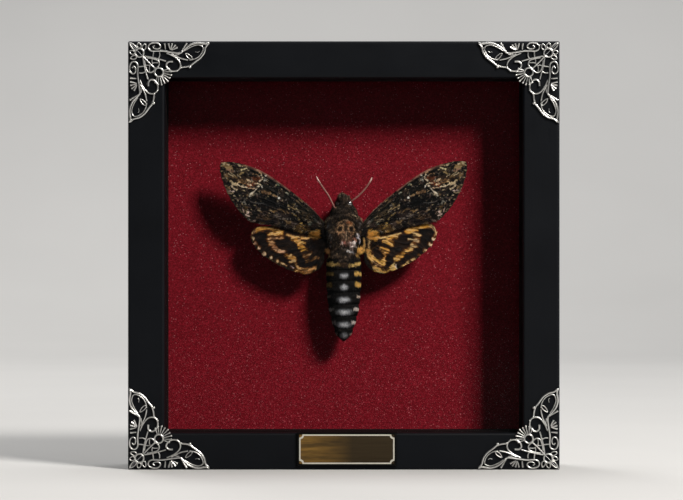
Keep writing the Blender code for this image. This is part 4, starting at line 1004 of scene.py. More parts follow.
# %% The forewing's markings, in millimetres from the frame's middle
FORE_MARKS = [
    ([(14, 18), (26, 26), (38, 33)], 3.2, (18, 21, 17), 0.6),
    ([(27, 19), (33, 17), (38, 18)], 4.6, (44, 34, 34), 0.5),
    ([(32.2, 24.3), (35.6, 24.6)], 5.0, (3, 3, 4), 1.0),
    ([(36.2, 25.4), (39.0, 25.8)], 3.2, (4, 4, 5), 1.0),
    ([(42.2, 35.4), (48.0, 36.0), (52.6, 37.2)], 3.2, (58, 42, 30), 0.7),
    ([(38.3, 35.6), (42.1, 36.4)], 1.7, (110, 62, 36), 0.8),
    ([(40.6, 33.6), (44.8, 33.1)], 1.9, (136, 74, 38), 0.9),
    ([(45.4, 34.9), (48.9, 35.4)], 1.3, (126, 98, 68), 0.85),
    ([(43.5, 35.0), (44.9, 35.2)], 0.8, (206, 180, 150), 0.9),
    ([(43.5, 33.1)], 1.0, (240, 218, 186), 1.0),
    ([(49.6, 36.9), (51.6, 37.0)], 0.9, (112, 90, 58), 0.8),
    ([(52.9, 35.2), (51.8, 34.0), (49.7, 33.8), (48.6, 34.6)], 0.7, (232, 206, 162), 1.0),
    ([(52.3, 32.8), (51.4, 31.7), (50.2, 31.0)], 0.7, (238, 216, 184), 1.0),
    ([(51.8, 34.0), (52.2, 32.8)], 0.5, (206, 180, 140), 0.9),
    ([(49.4, 33.6), (48.5, 32.6), (47.1, 32.1), (45.5, 32.1)], 0.6, (236, 216, 184), 1.0),
    ([(48.6, 34.4), (46.9, 33.9), (45.6, 34.1)], 0.4, (172, 132, 90), 0.8),
    ([(49.9, 32.4)], 1.3, (20, 14, 10), 0.95),
    ([(50.9, 35.5)], 1.1, (28, 18, 12), 0.9),
    ([(47.1, 33.1)], 0.9, (30, 18, 12), 0.9),
    ([(45.4, 31.7), (41.6, 31.6)], 0.4, (206, 176, 146), 0.9),
    ([(39.6, 35.0), (38.1, 35.5), (37.8, 36.9), (38.4, 37.6)], 0.62, (222, 204, 176), 1.0),
    ([(37.1, 34.9), (36.3, 35.5), (37.1, 36.9), (36.1, 38.3)], 0.6, (206, 202, 188), 1.0),
    ([(41.2, 34.0), (39.7, 34.0), (38.8, 33.2)], 0.6, (230, 212, 180), 1.0),
    ([(38.2, 32.4)], 1.0, (250, 244, 230), 1.0),
    ([(39.6, 33.2), (41.2, 31.2), (43.4, 28.9)], 0.6, (228, 214, 192), 1.0),
    ([(43.4, 28.9), (43.7, 28.2)], 0.8, (206, 196, 176), 0.95),
    ([(39.3, 28.7), (41.2, 28.9), (42.6, 28.0)], 0.6, (112, 106, 96), 0.8),
    ([(40.9, 40.3), (39.4, 39.6), (38.3, 38.6)], 0.7, (178, 150, 116), 0.9),
    ([(42.4, 38.6), (40.4, 38.2), (39.4, 37.0)], 0.5, (150, 122, 92), 0.8),
    ([(45.5, 40.9), (47.5, 40.3)], 0.75, (222, 206, 164), 1.0),
    ([(46.6, 39.3), (48.0, 39.2), (48.6, 38.4)], 0.9, (158, 136, 96), 0.9),
    ([(45.2, 41.9), (47.1, 42.5)], 0.6, (164, 140, 104), 0.85),
    ([(41.4, 40.6), (45.2, 39.4)], 1.6, (12, 12, 10), 0.9),
    ([(52.7, 41.0), (54.6, 42.2), (56.0, 43.0)], 2.2, (150, 126, 90), 0.9),
    ([(55.6, 43.4), (56.4, 43.9)], 1.0, (216, 196, 152), 0.95),
    ([(51.4, 39.4), (53.4, 40.3)], 1.1, (148, 118, 96), 0.85),
    ([(54.4, 38.6), (55.0, 40.0)], 0.7, (96, 72, 54), 0.8),
    ([(48.9, 42.9), (51.6, 44.0), (53.8, 44.9)], 1.1, (22, 18, 16), 0.8),
    ([(49.4, 40.6), (50.6, 40.9)], 1.5, (30, 24, 17), 0.8),
    ([(51.2, 30.2), (54.0, 30.2)], 0.45, (212, 190, 178), 0.95),
    ([(38.1, 29.8), (36.2, 29.6), (34.6, 29.1)], 1.0, (136, 106, 74), 0.9),
    ([(33.1, 28.4), (30.9, 27.6)], 0.6, (150, 124, 92), 0.9),
    ([(41.1, 24.8), (39.2, 24.5), (37.3, 24.7)], 0.36, (124, 122, 118), 0.8),
    ([(47.3, 25.0), (46.5, 25.6), (45.7, 23.9)], 0.5, (132, 128, 118), 0.9),
    ([(43.6, 25.3), (41.8, 25.0)], 0.5, (122, 114, 108), 0.8),
    ([(44.8, 27.2), (46.4, 26.6), (48.2, 27.4)], 0.45, (92, 88, 80), 0.8),
    ([(47.6, 28.4), (49.0, 29.4)], 0.5, (76, 72, 66), 0.8),
    ([(44.9, 21.8), (44.6, 20.3), (46.0, 19.4), (44.3, 18.5)], 0.6, (230, 204, 188), 1.0),
    ([(46.6, 20.8), (47.3, 22.0)], 0.5, (186, 160, 146), 0.9),
    ([(43.0, 19.6), (43.6, 20.6)], 0.5, (150, 126, 112), 0.8),
    ([(44.5, 17.0)], 1.1, (250, 236, 222), 1.0),
    ([(42.2, 16.8), (41.0, 16.8)], 0.45, (206, 182, 166), 0.95),
    ([(32.6, 18.8), (29.8, 18.7)], 0.8, (134, 122, 112), 0.8),
    ([(28.5, 17.2), (26.2, 17.2)], 0.7, (142, 130, 120), 0.8),
    ([(36.6, 19.2), (38.2, 18.6)], 0.5, (150, 126, 108), 0.8),
    ([(36.4, 17.4), (38.6, 18.2), (40.8, 17.6)], 1.2, (92, 68, 46), 0.5),
    ([(26.2, 23.6), (24.5, 22.6), (22.2, 21.3)], 0.46, (158, 136, 98), 0.9),
    ([(22.0, 22.2), (21.4, 21.4)], 0.6, (212, 192, 150), 0.95),
    ([(24.4, 24.2), (22.6, 24.0), (23.6, 22.8)], 0.4, (140, 120, 84), 0.85),
    ([(24.4, 20.2), (23.0, 19.0), (21.4, 18.4), (20.6, 16.9)], 0.42, (150, 128, 84), 0.85),
    ([(31.3, 33.6), (30.2, 32.8)], 0.6, (112, 122, 102), 0.8),
    ([(25.8, 29.1), (26.4, 29.6)], 0.6, (176, 174, 154), 0.9),
    ([(20.0, 21.6), (21.2, 20.4), (20.0, 19.4), (18.6, 18.4)], 0.4, (122, 104, 70), 0.7),
    ([(15.2, 20.6), (18.6, 22.4), (21.6, 25.2)], 0.46, (96, 84, 66), 0.65),
    ([(16.8, 19.4), (19.2, 20.8)], 0.4, (106, 94, 76), 0.6),
    ([(11.8, 15.0), (13.0, 16.4)], 0.5, (102, 108, 98), 0.7),
    ([(14.2, 15.2), (15.2, 14.4)], 0.45, (140, 144, 132), 0.7),
    ([(16.6, 12.4), (18.6, 12.2), (20.8, 12.8)], 3.4, (112, 86, 50), 0.75),
    ([(19.3, 15.0), (20.0, 13.6)], 1.1, (206, 172, 98), 0.95),
    ([(17.6, 14.6), (18.8, 13.2), (17.4, 11.8), (16.0, 11.9)], 0.5, (196, 160, 92), 0.9),
    ([(18.4, 11.4), (20.6, 11.6)], 0.5, (180, 146, 86), 0.85),
    ([(12.0, 9.8), (13.4, 9.7), (14.9, 9.5)], 4.0, (236, 180, 90), 1.0),
    ([(11.4, 11.2), (12.6, 11.5), (14.8, 11.5)], 0.6, (252, 218, 146), 0.9),
]


def scrawl(places, size, seed, width, squash=(1.0, 1.0)):
    """A cover of 1 along wandering lines and 0 away from them."""
    field = patchy(places * squash, size, seed) + 0.45 * patchy(places * squash, size * 0.45, seed + 1)
    return held(1.25 - np.abs(field) / width)


def forewing_markings(chart, out, across, rise):
    """Upper and lower colours of the forewing."""
    count = len(chart)
    upper = np.tile(linear((17, 14, 12)), (count, 1))
    drift = patchy(chart, 4.5, 3)
    blend_in(upper, (62, 48, 40), 0.55 * held(drift * 0.9 + patchy(chart, 1.1, 4) * 0.8))
    blend_in(upper, (7, 6, 6), 0.95 * held(-drift * 1.1 + patchy(chart, 1.2, 6)))
    lean = chart @ np.array([[math.cos(0.6), -math.sin(0.6)], [math.sin(0.6), math.cos(0.6)]])
    along_wing = lean * (0.5, 1.0)
    cloud = held(away_from(chart, [(33.0, 24.4), (36.8, 25.0)]) / 2.4 - 0.6)
    inner = held((36 - chart[:, 0]) / 6)
    tip = held((out - 0.55) * 3)
    thick = held(0.22 + 1.5 * patchy(chart, 2.6, 8)) * cloud
    thicker = thick * (0.5 + 0.5 * inner)
    blend_in(upper, (132, 112, 86), 0.66 * scrawl(lean, 3.1, 11, 0.11, (0.7, 1.0)) * thicker)
    blend_in(upper, (104, 86, 78), 0.6 * scrawl(lean, 2.4, 21, 0.12, (0.8, 1.0)) * cloud)
    blend_in(upper, (160, 130, 86), 0.6 * scrawl(lean, 3.7, 41, 0.09, (0.6, 1.0)) * thick)
    blend_in(upper, (144, 120, 90), 0.65 * flecks(along_wing, 0.95, 151, 0.66 - 0.14 * tip) * thick)
    blend_in(upper, (6, 5, 5), 0.9 * flecks(along_wing, 1.25, 161, 0.2))
    paint(upper, chart, outlines(FORE_MARKS, 0.8, (6, 5, 5), 0.7), 100, bend=0.3, ragged=0.36, soft=0.4)
    paint(upper, chart, FORE_MARKS, 100, bend=0.3, ragged=0.34, soft=0.22)
    blend_in(upper, (7, 6, 6), 0.8 * flecks(along_wing, 1.0, 171, 0.5))
    blend_in(upper, (206, 186, 152), 0.7 * flecks(along_wing, 0.8, 181, 0.86 - 0.16 * tip) * cloud)
    blend_in(upper, (168, 160, 154), 0.6 * flecks(chart, 0.75, 191, 0.86) * (0.2 + 0.8 * cloud))
    paint(upper, chart, [([(30.3, 27.0)], 1.0, (250, 246, 234), 1.0)], 100, bend=0.0, ragged=0.1, soft=0.2)
    # Painted highlight: a pinkish tan line along the front edge, where the raised edge catches the lamp.
    front = held((0.035 - across) / 0.015)
    front = front * held((out - 0.12) / 0.1) * held((0.86 - out) / 0.1)
    blend_in(upper, (168, 122, 106), 0.7 * front * held(0.7 + patchy(chart, 2.0, 9)))
    fringe = held((out - 0.972) / 0.02)
    vein_end = np.exp(-(rise - 1) ** 2 / 0.2)
    blend_in(upper, (26, 20, 17), 0.8 * fringe)
    blend_in(upper, (172, 150, 118), 0.85 * fringe * vein_end)
    dust = patchy(chart, 0.26, 71) * 0.6 + patchy(chart, 0.6, 72) * 0.5
    upper = brightened(deepened(upper), 1.15 * np.clip(1 + 0.32 * dust, 0.3, 2))
    lower = np.tile(linear((118, 84, 44)), (count, 1))
    blend_in(lower, (58, 40, 24), held(patchy(chart, 3.0, 5) * 0.6 + (0.55 - np.abs(out - 0.72) * 6)))
    blend_in(lower, (42, 30, 20), held((out - 0.86) / 0.1) * 0.8)
    blend_in(lower, (172, 124, 58), held(0.45 - out) * 1.2)
    lower *= (1 + 0.25 * dust)[:, None]
    return upper, held(lower)


print("forewing:", len(FORE_MARKS), "marks")

# %% [markdown]
# The hindwing is ochre with black: a black base, an ochre band in the middle broken into streaks by
# the veins, a black band, a row of short pale dashes, and a black border with a cream dot at the end
# of each vein. The streaks run along the veins, so its marks are strokes that point out from the root.

# %% The hindwing's markings
HIND_MARKS = [
    ([(29.6, 11.3), (32.0, 12.3), (35.2, 13.0), (38.0, 13.9), (41.0, 14.0)], 1.5, (224, 168, 80), 1.0),
    ([(30.0, 11.0), (32.4, 11.6), (34.8, 11.9)], 1.3, (228, 174, 90), 1.0),
    ([(40.4, 13.9), (42.2, 13.0), (43.3, 11.0), (43.1, 9.4)], 0.9, (242, 206, 156), 1.0),
    ([(35.6, 11.5), (38.6, 12.0), (41.0, 11.6)], 1.2, (10, 8, 8), 1.0),
    ([(33.2, 9.6), (34.2, 9.5), (35.4, 9.3)], 1.0, (240, 202, 142), 1.0),
    ([(30.3, 7.8), (32.4, 7.5)], 0.65, (250, 226, 182), 1.0),
    ([(33.0, 7.1), (35.0, 6.8)], 0.9, (242, 210, 166), 1.0),
    ([(32.2, 4.7), (33.5, 4.4)], 1.2, (236, 200, 148), 1.0),
    ([(28.2, 1.8), (30.0, 2.0), (31.5, 2.7)], 1.2, (232, 188, 116), 1.0),
    ([(24.8, -1.8), (26.0, -0.7), (27.7, 0.6)], 2.3, (230, 176, 92), 1.0),
    ([(16.2, 8.0), (21.0, 8.8), (26.5, 10.2)], 0.55, (240, 206, 142), 1.0),
    ([(20.6, 7.7), (22.6, 8.3), (24.8, 8.9)], 1.2, (226, 168, 78), 1.0),
    ([(18.6, 6.7), (20.8, 6.1), (22.6, 5.0)], 1.25, (236, 182, 94), 1.0),
    ([(22.0, 7.1), (23.4, 6.4)], 0.7, (196, 140, 66), 0.9),
    ([(17.2, 3.5), (19.2, 3.0), (21.0, 2.6)], 1.0, (234, 178, 94), 1.0),
    ([(18.0, 2.1), (19.4, 1.6), (20.6, 1.3)], 0.8, (222, 168, 86), 1.0),
    ([(18.5, 0.8), (19.4, -0.4), (18.9, -1.7)], 0.75, (196, 146, 80), 0.95),
    ([(10.7, 3.0), (11.8, 0.6), (13.6, -1.4), (16.0, -2.6), (18.8, -3.4)], 1.9, (244, 194, 108), 1.0),
    ([(10.4, 1.4), (11.6, -1.4), (13.4, -3.4)], 0.5, (232, 190, 120), 0.9),
    ([(14.4, -5.8), (17.0, -7.3), (19.6, -7.7), (22.2, -6.8), (23.4, -5.0)], 2.1, (248, 204, 118), 1.0),
    ([(13.6, -5.2), (16.2, -7.1), (19.2, -8.2)], 0.6, (255, 228, 168), 1.0),
    ([(22.8, -5.2), (23.6, -3.8)], 0.9, (252, 224, 160), 1.0),
    ([(13.4, -2.6), (15.2, -4.2), (17.4, -5.2)], 0.5, (150, 126, 104), 0.8),
    ([(14.6, -4.6), (15.4, -5.0)], 0.5, (226, 200, 160), 0.9),
    ([(25.3, -5.2)], 2.0, (5, 5, 7), 1.0),
    ([(24.5, -4.4), (24.3, -5.2), (24.8, -6.0)], 0.5, (206, 206, 220), 1.0),
    ([(27.4, -4.9), (29.0, -3.9), (30.8, -2.4), (33.0, -1.7)], 0.7, (240, 198, 134), 1.0),
    ([(42.0, 7.6), (42.4, 7.4)], 1.0, (252, 226, 192), 1.0),
    ([(40.2, 5.1), (40.8, 5.0)], 0.8, (246, 216, 178), 1.0),
    ([(38.2, 2.5), (38.7, 2.4)], 0.75, (240, 208, 168), 1.0),
    ([(35.6, 0.2), (36.0, 0.0)], 0.5, (176, 142, 104), 0.8),
    ([(12.0, 6.4), (15.6, 6.8)], 1.2, (10, 8, 8), 0.9),
    ([(11.8, 8.6), (13.4, 8.5), (15.2, 8.3)], 2.6, (236, 182, 94), 1.0),
    ([(10.6, 9.0), (10.9, 6.6), (11.1, 3.6)], 0.7, (244, 214, 160), 1.0),
    ([(26.0, 6.2), (30.2, 6.0)], 0.5, (60, 48, 44), 0.7),
    ([(24.6, 4.2), (29.4, 4.4)], 0.5, (54, 42, 38), 0.7),
    ([(23.4, 2.2), (26.6, 3.0)], 0.5, (62, 56, 54), 0.7),
    ([(13.0, 3.2), (16.0, 4.4)], 0.4, (112, 78, 40), 0.6),
]


# The left hindwing's marks are read off that wing as it lies. Near the body its colours are duller by painted
# shade from the body's shadow.
LEFT_HIND_MARKS = [
    ([(41.2, 11.8), (39.3, 12.7), (36.1, 13.0), (33.9, 12.5), (31.1, 11.4), (29.2, 10.8)], 1.4,
     (214, 162, 84), 1.0),
    ([(35.5, 9.7), (32.4, 10.0), (29.2, 10.2)], 0.8, (236, 186, 112), 1.0),
    ([(35.2, 7.5), (33.0, 8.0), (28.6, 8.1)], 0.7, (232, 184, 138), 1.0),
    ([(42.7, 10.6), (41.5, 11.7)], 0.7, (216, 176, 136), 0.9),
    ([(42.6, 8.3)], 1.1, (246, 222, 186), 1.0),
    ([(41.3, 5.6)], 0.9, (176, 140, 118), 0.9),
    ([(39.7, 3.3)], 0.8, (226, 196, 168), 1.0),
    ([(37.4, 0.9)], 1.2, (232, 202, 172), 1.0),
    ([(34.1, -1.1)], 1.1, (240, 216, 180), 1.0),
    ([(31.1, -2.9), (28.6, -3.6), (27.3, -4.7)], 0.9, (236, 200, 152), 1.0),
    ([(34.6, 5.5), (32.9, 5.9)], 1.1, (226, 176, 128), 1.0),
    ([(33.0, 3.6), (31.7, 3.0)], 1.1, (190, 142, 108), 1.0),
    ([(30.2, 1.7), (27.8, 1.2)], 1.2, (222, 176, 142), 1.0),
    ([(26.8, 0.0), (24.9, -0.9), (23.4, -1.6)], 1.8, (226, 168, 88), 1.0),
    ([(25.4, -3.1), (22.9, -2.7)], 1.0, (242, 198, 144), 1.0),
    ([(26.4, 9.7), (24.2, 8.9), (20.6, 8.4), (16.6, 7.8)], 0.8, (226, 176, 108), 1.0),
    ([(23.8, 8.0), (21.7, 6.8), (20.4, 5.2), (19.4, 3.6)], 2.0, (206, 150, 72), 0.95),
    ([(21.1, 6.1), (18.2, 5.8)], 0.7, (250, 196, 106), 1.0),
    ([(21.1, 3.3), (18.5, 3.6)], 0.8, (244, 192, 96), 1.0),
    ([(19.8, 1.9), (17.3, 2.6)], 0.6, (226, 176, 84), 0.95),
    ([(18.6, -0.8), (17.0, 0.1), (15.6, 0.9)], 0.8, (206, 166, 120), 0.9),
    ([(17.6, -2.9), (15.4, -2.1), (12.4, -0.8)], 1.4, (134, 96, 56), 0.85),
    ([(22.4, -4.4), (21.4, -5.8), (19.2, -7.1), (15.6, -6.6), (13.2, -5.6)], 1.3, (220, 170, 110), 1.0),
    ([(22.0, -7.2), (18.9, -7.7)], 0.9, (190, 136, 66), 0.9),
    ([(20.6, -0.6), (19.6, -2.4), (18.8, -4.2)], 2.0, (5, 5, 8), 1.0),
    ([(24.8, -4.9), (23.6, -5.8)], 0.5, (176, 172, 196), 0.8),
    ([(28.2, 7.0), (24.6, 5.4), (22.8, 3.2)], 1.6, (34, 32, 34), 0.7),
    ([(14.6, 6.2), (14.2, 3.6)], 2.4, (22, 17, 22), 0.8),
    ([(11.8, 8.9), (13.4, 8.9), (15.0, 9.4)], 2.4, (236, 186, 98), 1.0),
]


def hindwing_markings(chart, out, across, rise, marks=HIND_MARKS):
    """Upper and lower colours of the hindwing."""
    count = len(chart)
    upper = np.tile(linear((18, 13, 11)), (count, 1))
    fan = np.stack([out * 12, across * 46], axis=1)
    streaks = patchy(fan, 1.6, 12) + 0.6 * patchy(fan, 0.7, 13)
    blend_in(upper, (58, 42, 32), 0.6 * held(streaks))
    blend_in(upper, (6, 5, 6), 0.85 * held(-streaks))
    ribs = np.stack([out * 9, across * 20], axis=1)
    edges = outlines(marks, 0.9, (120, 74, 30), 0.75)
    paint(upper, chart, edges, 200, bend=0.2, ragged=0.3, soft=0.6, grain_at=ribs)
    paint(upper, chart, marks, 200, bend=0.2, ragged=0.34, soft=0.35, grain_at=ribs)
    blend_in(upper, (34, 20, 12), 0.7 * held(patchy(ribs, 0.6, 14) * 1.8 - 0.3))
    vein = (across * 15 + 0.35 * patchy(fan, 3, 16)) % 1 - 0.5
    blend_in(upper, (26, 16, 12), 0.75 * np.exp(-vein ** 2 / 0.006) * held((0.95 - out) / 0.05)
             * held(0.6 + patchy(chart, 2.0, 17)))
    blend_in(upper, (22, 14, 10), 0.5 * held(rise * 1.4 - 0.5) * held((0.97 - out) / 0.05))
    fringe = held((out - 0.975) / 0.02)
    blend_in(upper, (204, 168, 116), 0.3 * fringe * np.exp(-(rise - 1) ** 2 / 0.2))
    dust = patchy(chart, 0.26, 15) * 0.6 + patchy(chart, 0.6, 19) * 0.4
    fine = patchy(np.stack([out * 10, across * 75], axis=1), 0.9, 18) + 0.5 * patchy(ribs, 0.3, 20)
    on_pale = held(upper[:, 0] * 3 - 0.4)
    blend_in(upper, (255, 230, 178), 0.6 * held(fine * 1.3 - 0.15) * on_pale)
    blend_in(upper, (74, 56, 46), 0.6 * held(fine - 0.4) * held(1 - upper[:, 0] * 8))
    thinned = np.exp(-0.9 * held(-fine - 0.1))
    upper = brightened(deepened(upper), 1.4 * np.clip(1 + 0.3 * dust, 0.3, 1.8) * thinned)
    lower = np.tile(linear((198, 146, 66)), (count, 1))
    blend_in(lower, (46, 32, 20), held(0.62 - np.abs(out - 0.6) * 9) * 0.9)
    blend_in(lower, (46, 32, 20), held((out - 0.82) / 0.08) * 0.75)
    lower *= (1 + 0.25 * dust)[:, None]
    return upper, held(lower)


def left_hindwing_markings(chart, out, across, rise):
    """The left hindwing's own marks, read where that wing lies: it is turned a little from the right one."""
    turn = math.radians(HIND["sweep"][-1] - HIND["sweep"][1])
    away = chart - HIND["hinge"]
    turned = away @ np.array([(math.cos(turn), math.sin(turn)), (-math.sin(turn), math.cos(turn))])
    return hindwing_markings(turned + HIND["hinge"], out, across, rise, LEFT_HIND_MARKS)


MARKINGS = {"forewing_left": forewing_markings, "forewing_right": forewing_markings,
            "hindwing_left": left_hindwing_markings, "hindwing_right": hindwing_markings}
print("hindwings:", len(HIND_MARKS), "marks on the right one,", len(LEFT_HIND_MARKS), "on the left one")

# %% [markdown]
# The painted colour is only half of a scaled wing. Its finish adds rows of scales: a fine cell pattern,
# stretched along the wing, varies each scale's tone and lifts it a little. Dry scales hardly shine, so
# the black between the marks stays black.

# %% Scaled wing finish
wing_look, tree, shader = finish("wing_scales", 0.72)
colour = add(tree, "ShaderNodeVertexColor", {"layer_name": "scale_colour"}).outputs[0]
scale = split(tree, cells(tree, place_of(tree, (0.7, 1.0, 1.0)), 0.00019)[1], "Color")
fine = noise(tree, place_of(tree), 0.00012, 2.0)
pale_scale = mixed(tree, 1.0, colour, (1.5, 1.46, 1.42), "MULTIPLY")
dark_scale = mixed(tree, 1.0, colour, (0.55, 0.54, 0.55), "MULTIPLY")
base = mixed(tree, mask(tree, scale[1], 0.72, 1.0, 0.0, 0.5), colour, pale_scale)
base = mixed(tree, mask(tree, scale[0], 0.0, 1.0, 0.0, 0.55), base, dark_scale)
dye(shader, base, mask(tree, scale[2], 0.0, 1.0, 0.5, 0.85), 0.1)
height = maths(tree, "ADD", scale[0], maths(tree, "MULTIPLY", fine, 0.6))
bumped(tree, shader, height, 0.00006, 0.7)
print("wing finish ready")

# %% The four wings
for side, sign in SIDES:
    for kind, plan, rows, columns, slot in (("forewing", FORE, 250, 110, "fore_scales"),
                                            ("hindwing", HIND, 170, 96, "hind_scales")):
        node = f"{kind}_{side}"
        wing = wing_mesh(f"{kind}_scaled_{side}", plan, sign, rows, columns, wing_look, MARKINGS[node])
        hand_over(wing, slot, node)
        print(node, len(wing.data.polygons), "faces")

# %% [markdown]
# One skin runs over head, feelers, thorax and abdomen, so that no seam shows. It starts as overlapping
# round lumps and a turned, ringed cone. A voxel remesh melts them into one closed surface, and a
# smoothing pass rounds the joins. The skin lies inside the solids by the depth of the coat.

# %% The skin's lumps
THORAX_COAT = 0.75
HEAD_COAT = 0.55
ABDOMEN_COAT = 0.3
SEGMENT_ENDS = (-0.8, -6.2, -11.4, -16.8, -22.4, -28.0, -33.8, -39.9)
SEGMENT_RADII = (7.7, 8.15, 8.05, 7.8, 7.3, 6.3, 4.6, 0.5)
ABDOMEN_HEIGHT = 10.3
WAIST = -0.6
BODY_MIDDLE = 10.2
LUMPS = [
    ((0.0, 8.6, 10.0), (9.2, 15.0, 7.0), 0.0, THORAX_COAT),
    ((0.0, 17.6, 11.6), (6.6, 4.2, 5.0), 0.0, THORAX_COAT),
    ((0.0, 1.6, 12.4), (5.6, 4.6, 4.4), 0.0, THORAX_COAT),
    ((0.0, 15.0, 10.6), (9.2, 6.6, 5.6), 0.0, THORAX_COAT),
    ((0.0, 20.0, 10.8), (7.0, 5.0, 4.9), 0.0, THORAX_COAT),
    ((6.4, 11.0, 13.7), (2.7, 7.6, 2.3), -9.0, THORAX_COAT),
    ((-6.4, 11.0, 13.7), (2.7, 7.6, 2.3), 9.0, THORAX_COAT),
    ((0.0, 24.6, 10.6), (4.3, 4.3, 4.2), 0.0, HEAD_COAT),
    ((-0.7, 26.3, 12.8), (2.6, 2.8, 2.4), 0.0, HEAD_COAT),
    ((0.0, 22.4, 11.0), (5.4, 3.4, 4.1), 0.0, HEAD_COAT),
    ((1.4, 26.9, 8.0), (1.15, 2.3, 1.7), 8.0, 0.35),
    ((-1.4, 26.9, 8.0), (1.15, 2.3, 1.7), -8.0, 0.35),
]
EYE_SPOT = (2.45, 24.3, 11.9)
EYE_RADIUS = 1.9


def lump(bm, centre, radii, turn, coat):
    """A stretched sphere in the working plane: across, along and height in millimetres."""
    matrix = Matrix.Translation(centre) @ Matrix.Rotation(math.radians(turn), 4, "Z")
    matrix = matrix @ Matrix.Diagonal((*(r - coat for r in radii), 1.0))
    bmesh.ops.create_uvsphere(bm, u_segments=40, v_segments=24, radius=1.0, matrix=matrix)


def ringed_cone(bm):
    """The abdomen: each segment swells and ends in a small step over the next."""
    stations = []
    spans = list(zip(SEGMENT_ENDS, SEGMENT_ENDS[1:], SEGMENT_RADII, SEGMENT_RADII[1:]))
    for index, (top, bottom, wide, narrow) in enumerate(spans):
        for share in np.linspace(0, 0.96, 9):
            swell = 0.3 * math.sin(math.pi * share) - 0.38 * (1 - share) ** 4 + 0.14 * share
            radius = wide + (narrow - wide) * share ** (1.2 if index < 6 else 1.9) + swell - ABDOMEN_COAT
            stations.append((top + (bottom - top) * share, max(radius, 0.3)))
    stations[0] = (2.4, 6.2)
    stations.append((SEGMENT_ENDS[-1] + 0.25, 0.25))
    rings = []
    for along, radius in stations:
        ring = []
        for k in range(48):
            angle = 2 * math.pi * k / 48
            ring.append(bm.verts.new((radius * math.cos(angle), along, ABDOMEN_HEIGHT
                                      + 0.92 * radius * math.sin(angle))))
        rings.append(ring)
    for before, after in zip(rings, rings[1:]):
        for k in range(48):
            bm.faces.new((before[k], before[(k + 1) % 48], after[(k + 1) % 48], after[k]))
    bm.faces.new(rings[0])
    bm.faces.new(rings[-1][::-1])


bm = bmesh.new()
for centre, radii, turn, coat in LUMPS:
    lump(bm, centre, radii, turn, coat)
ringed_cone(bm)
bmesh.ops.recalc_face_normals(bm, faces=bm.faces)
skin = from_bmesh("moth_skin", bm)
melt = skin.modifiers.new("melt", "REMESH")
melt.mode = "VOXEL"
melt.voxel_size = 0.27
ease = skin.modifiers.new("ease", "SMOOTH")
ease.factor, ease.iterations = 0.5, 4
graph = bpy.context.evaluated_depsgraph_get()
mesh = bpy.data.meshes.new_from_object(skin.evaluated_get(graph))
skin.modifiers.clear()
skin.data = mesh


def eased(mesh, rounds, share):
    """The mesh's points, each moved towards the middle of its neighbours by a share, again and again."""
    spots = vertex_rows(mesh)
    ends = np.empty(len(mesh.edges) * 2, np.int32)
    mesh.edges.foreach_get("vertices", ends)
    start, stop = ends.reshape(-1, 2).T
    count = len(spots)
    near = np.bincount(start, minlength=count) + np.bincount(stop, minlength=count)
    for _ in range(rounds):
        moved = np.stack([np.bincount(start, spots[stop, k], count)
                          + np.bincount(stop, spots[start, k], count) for k in range(3)], axis=1)
        spots = spots + (moved / near[:, None] - spots) * share[:, None]
    return spots


chest_share = held((vertex_rows(mesh)[:, 1] + 0.5) / 3) * 0.5
move_points(mesh, eased(mesh, 45, chest_share))
print("skin:", len(mesh.polygons), "faces")
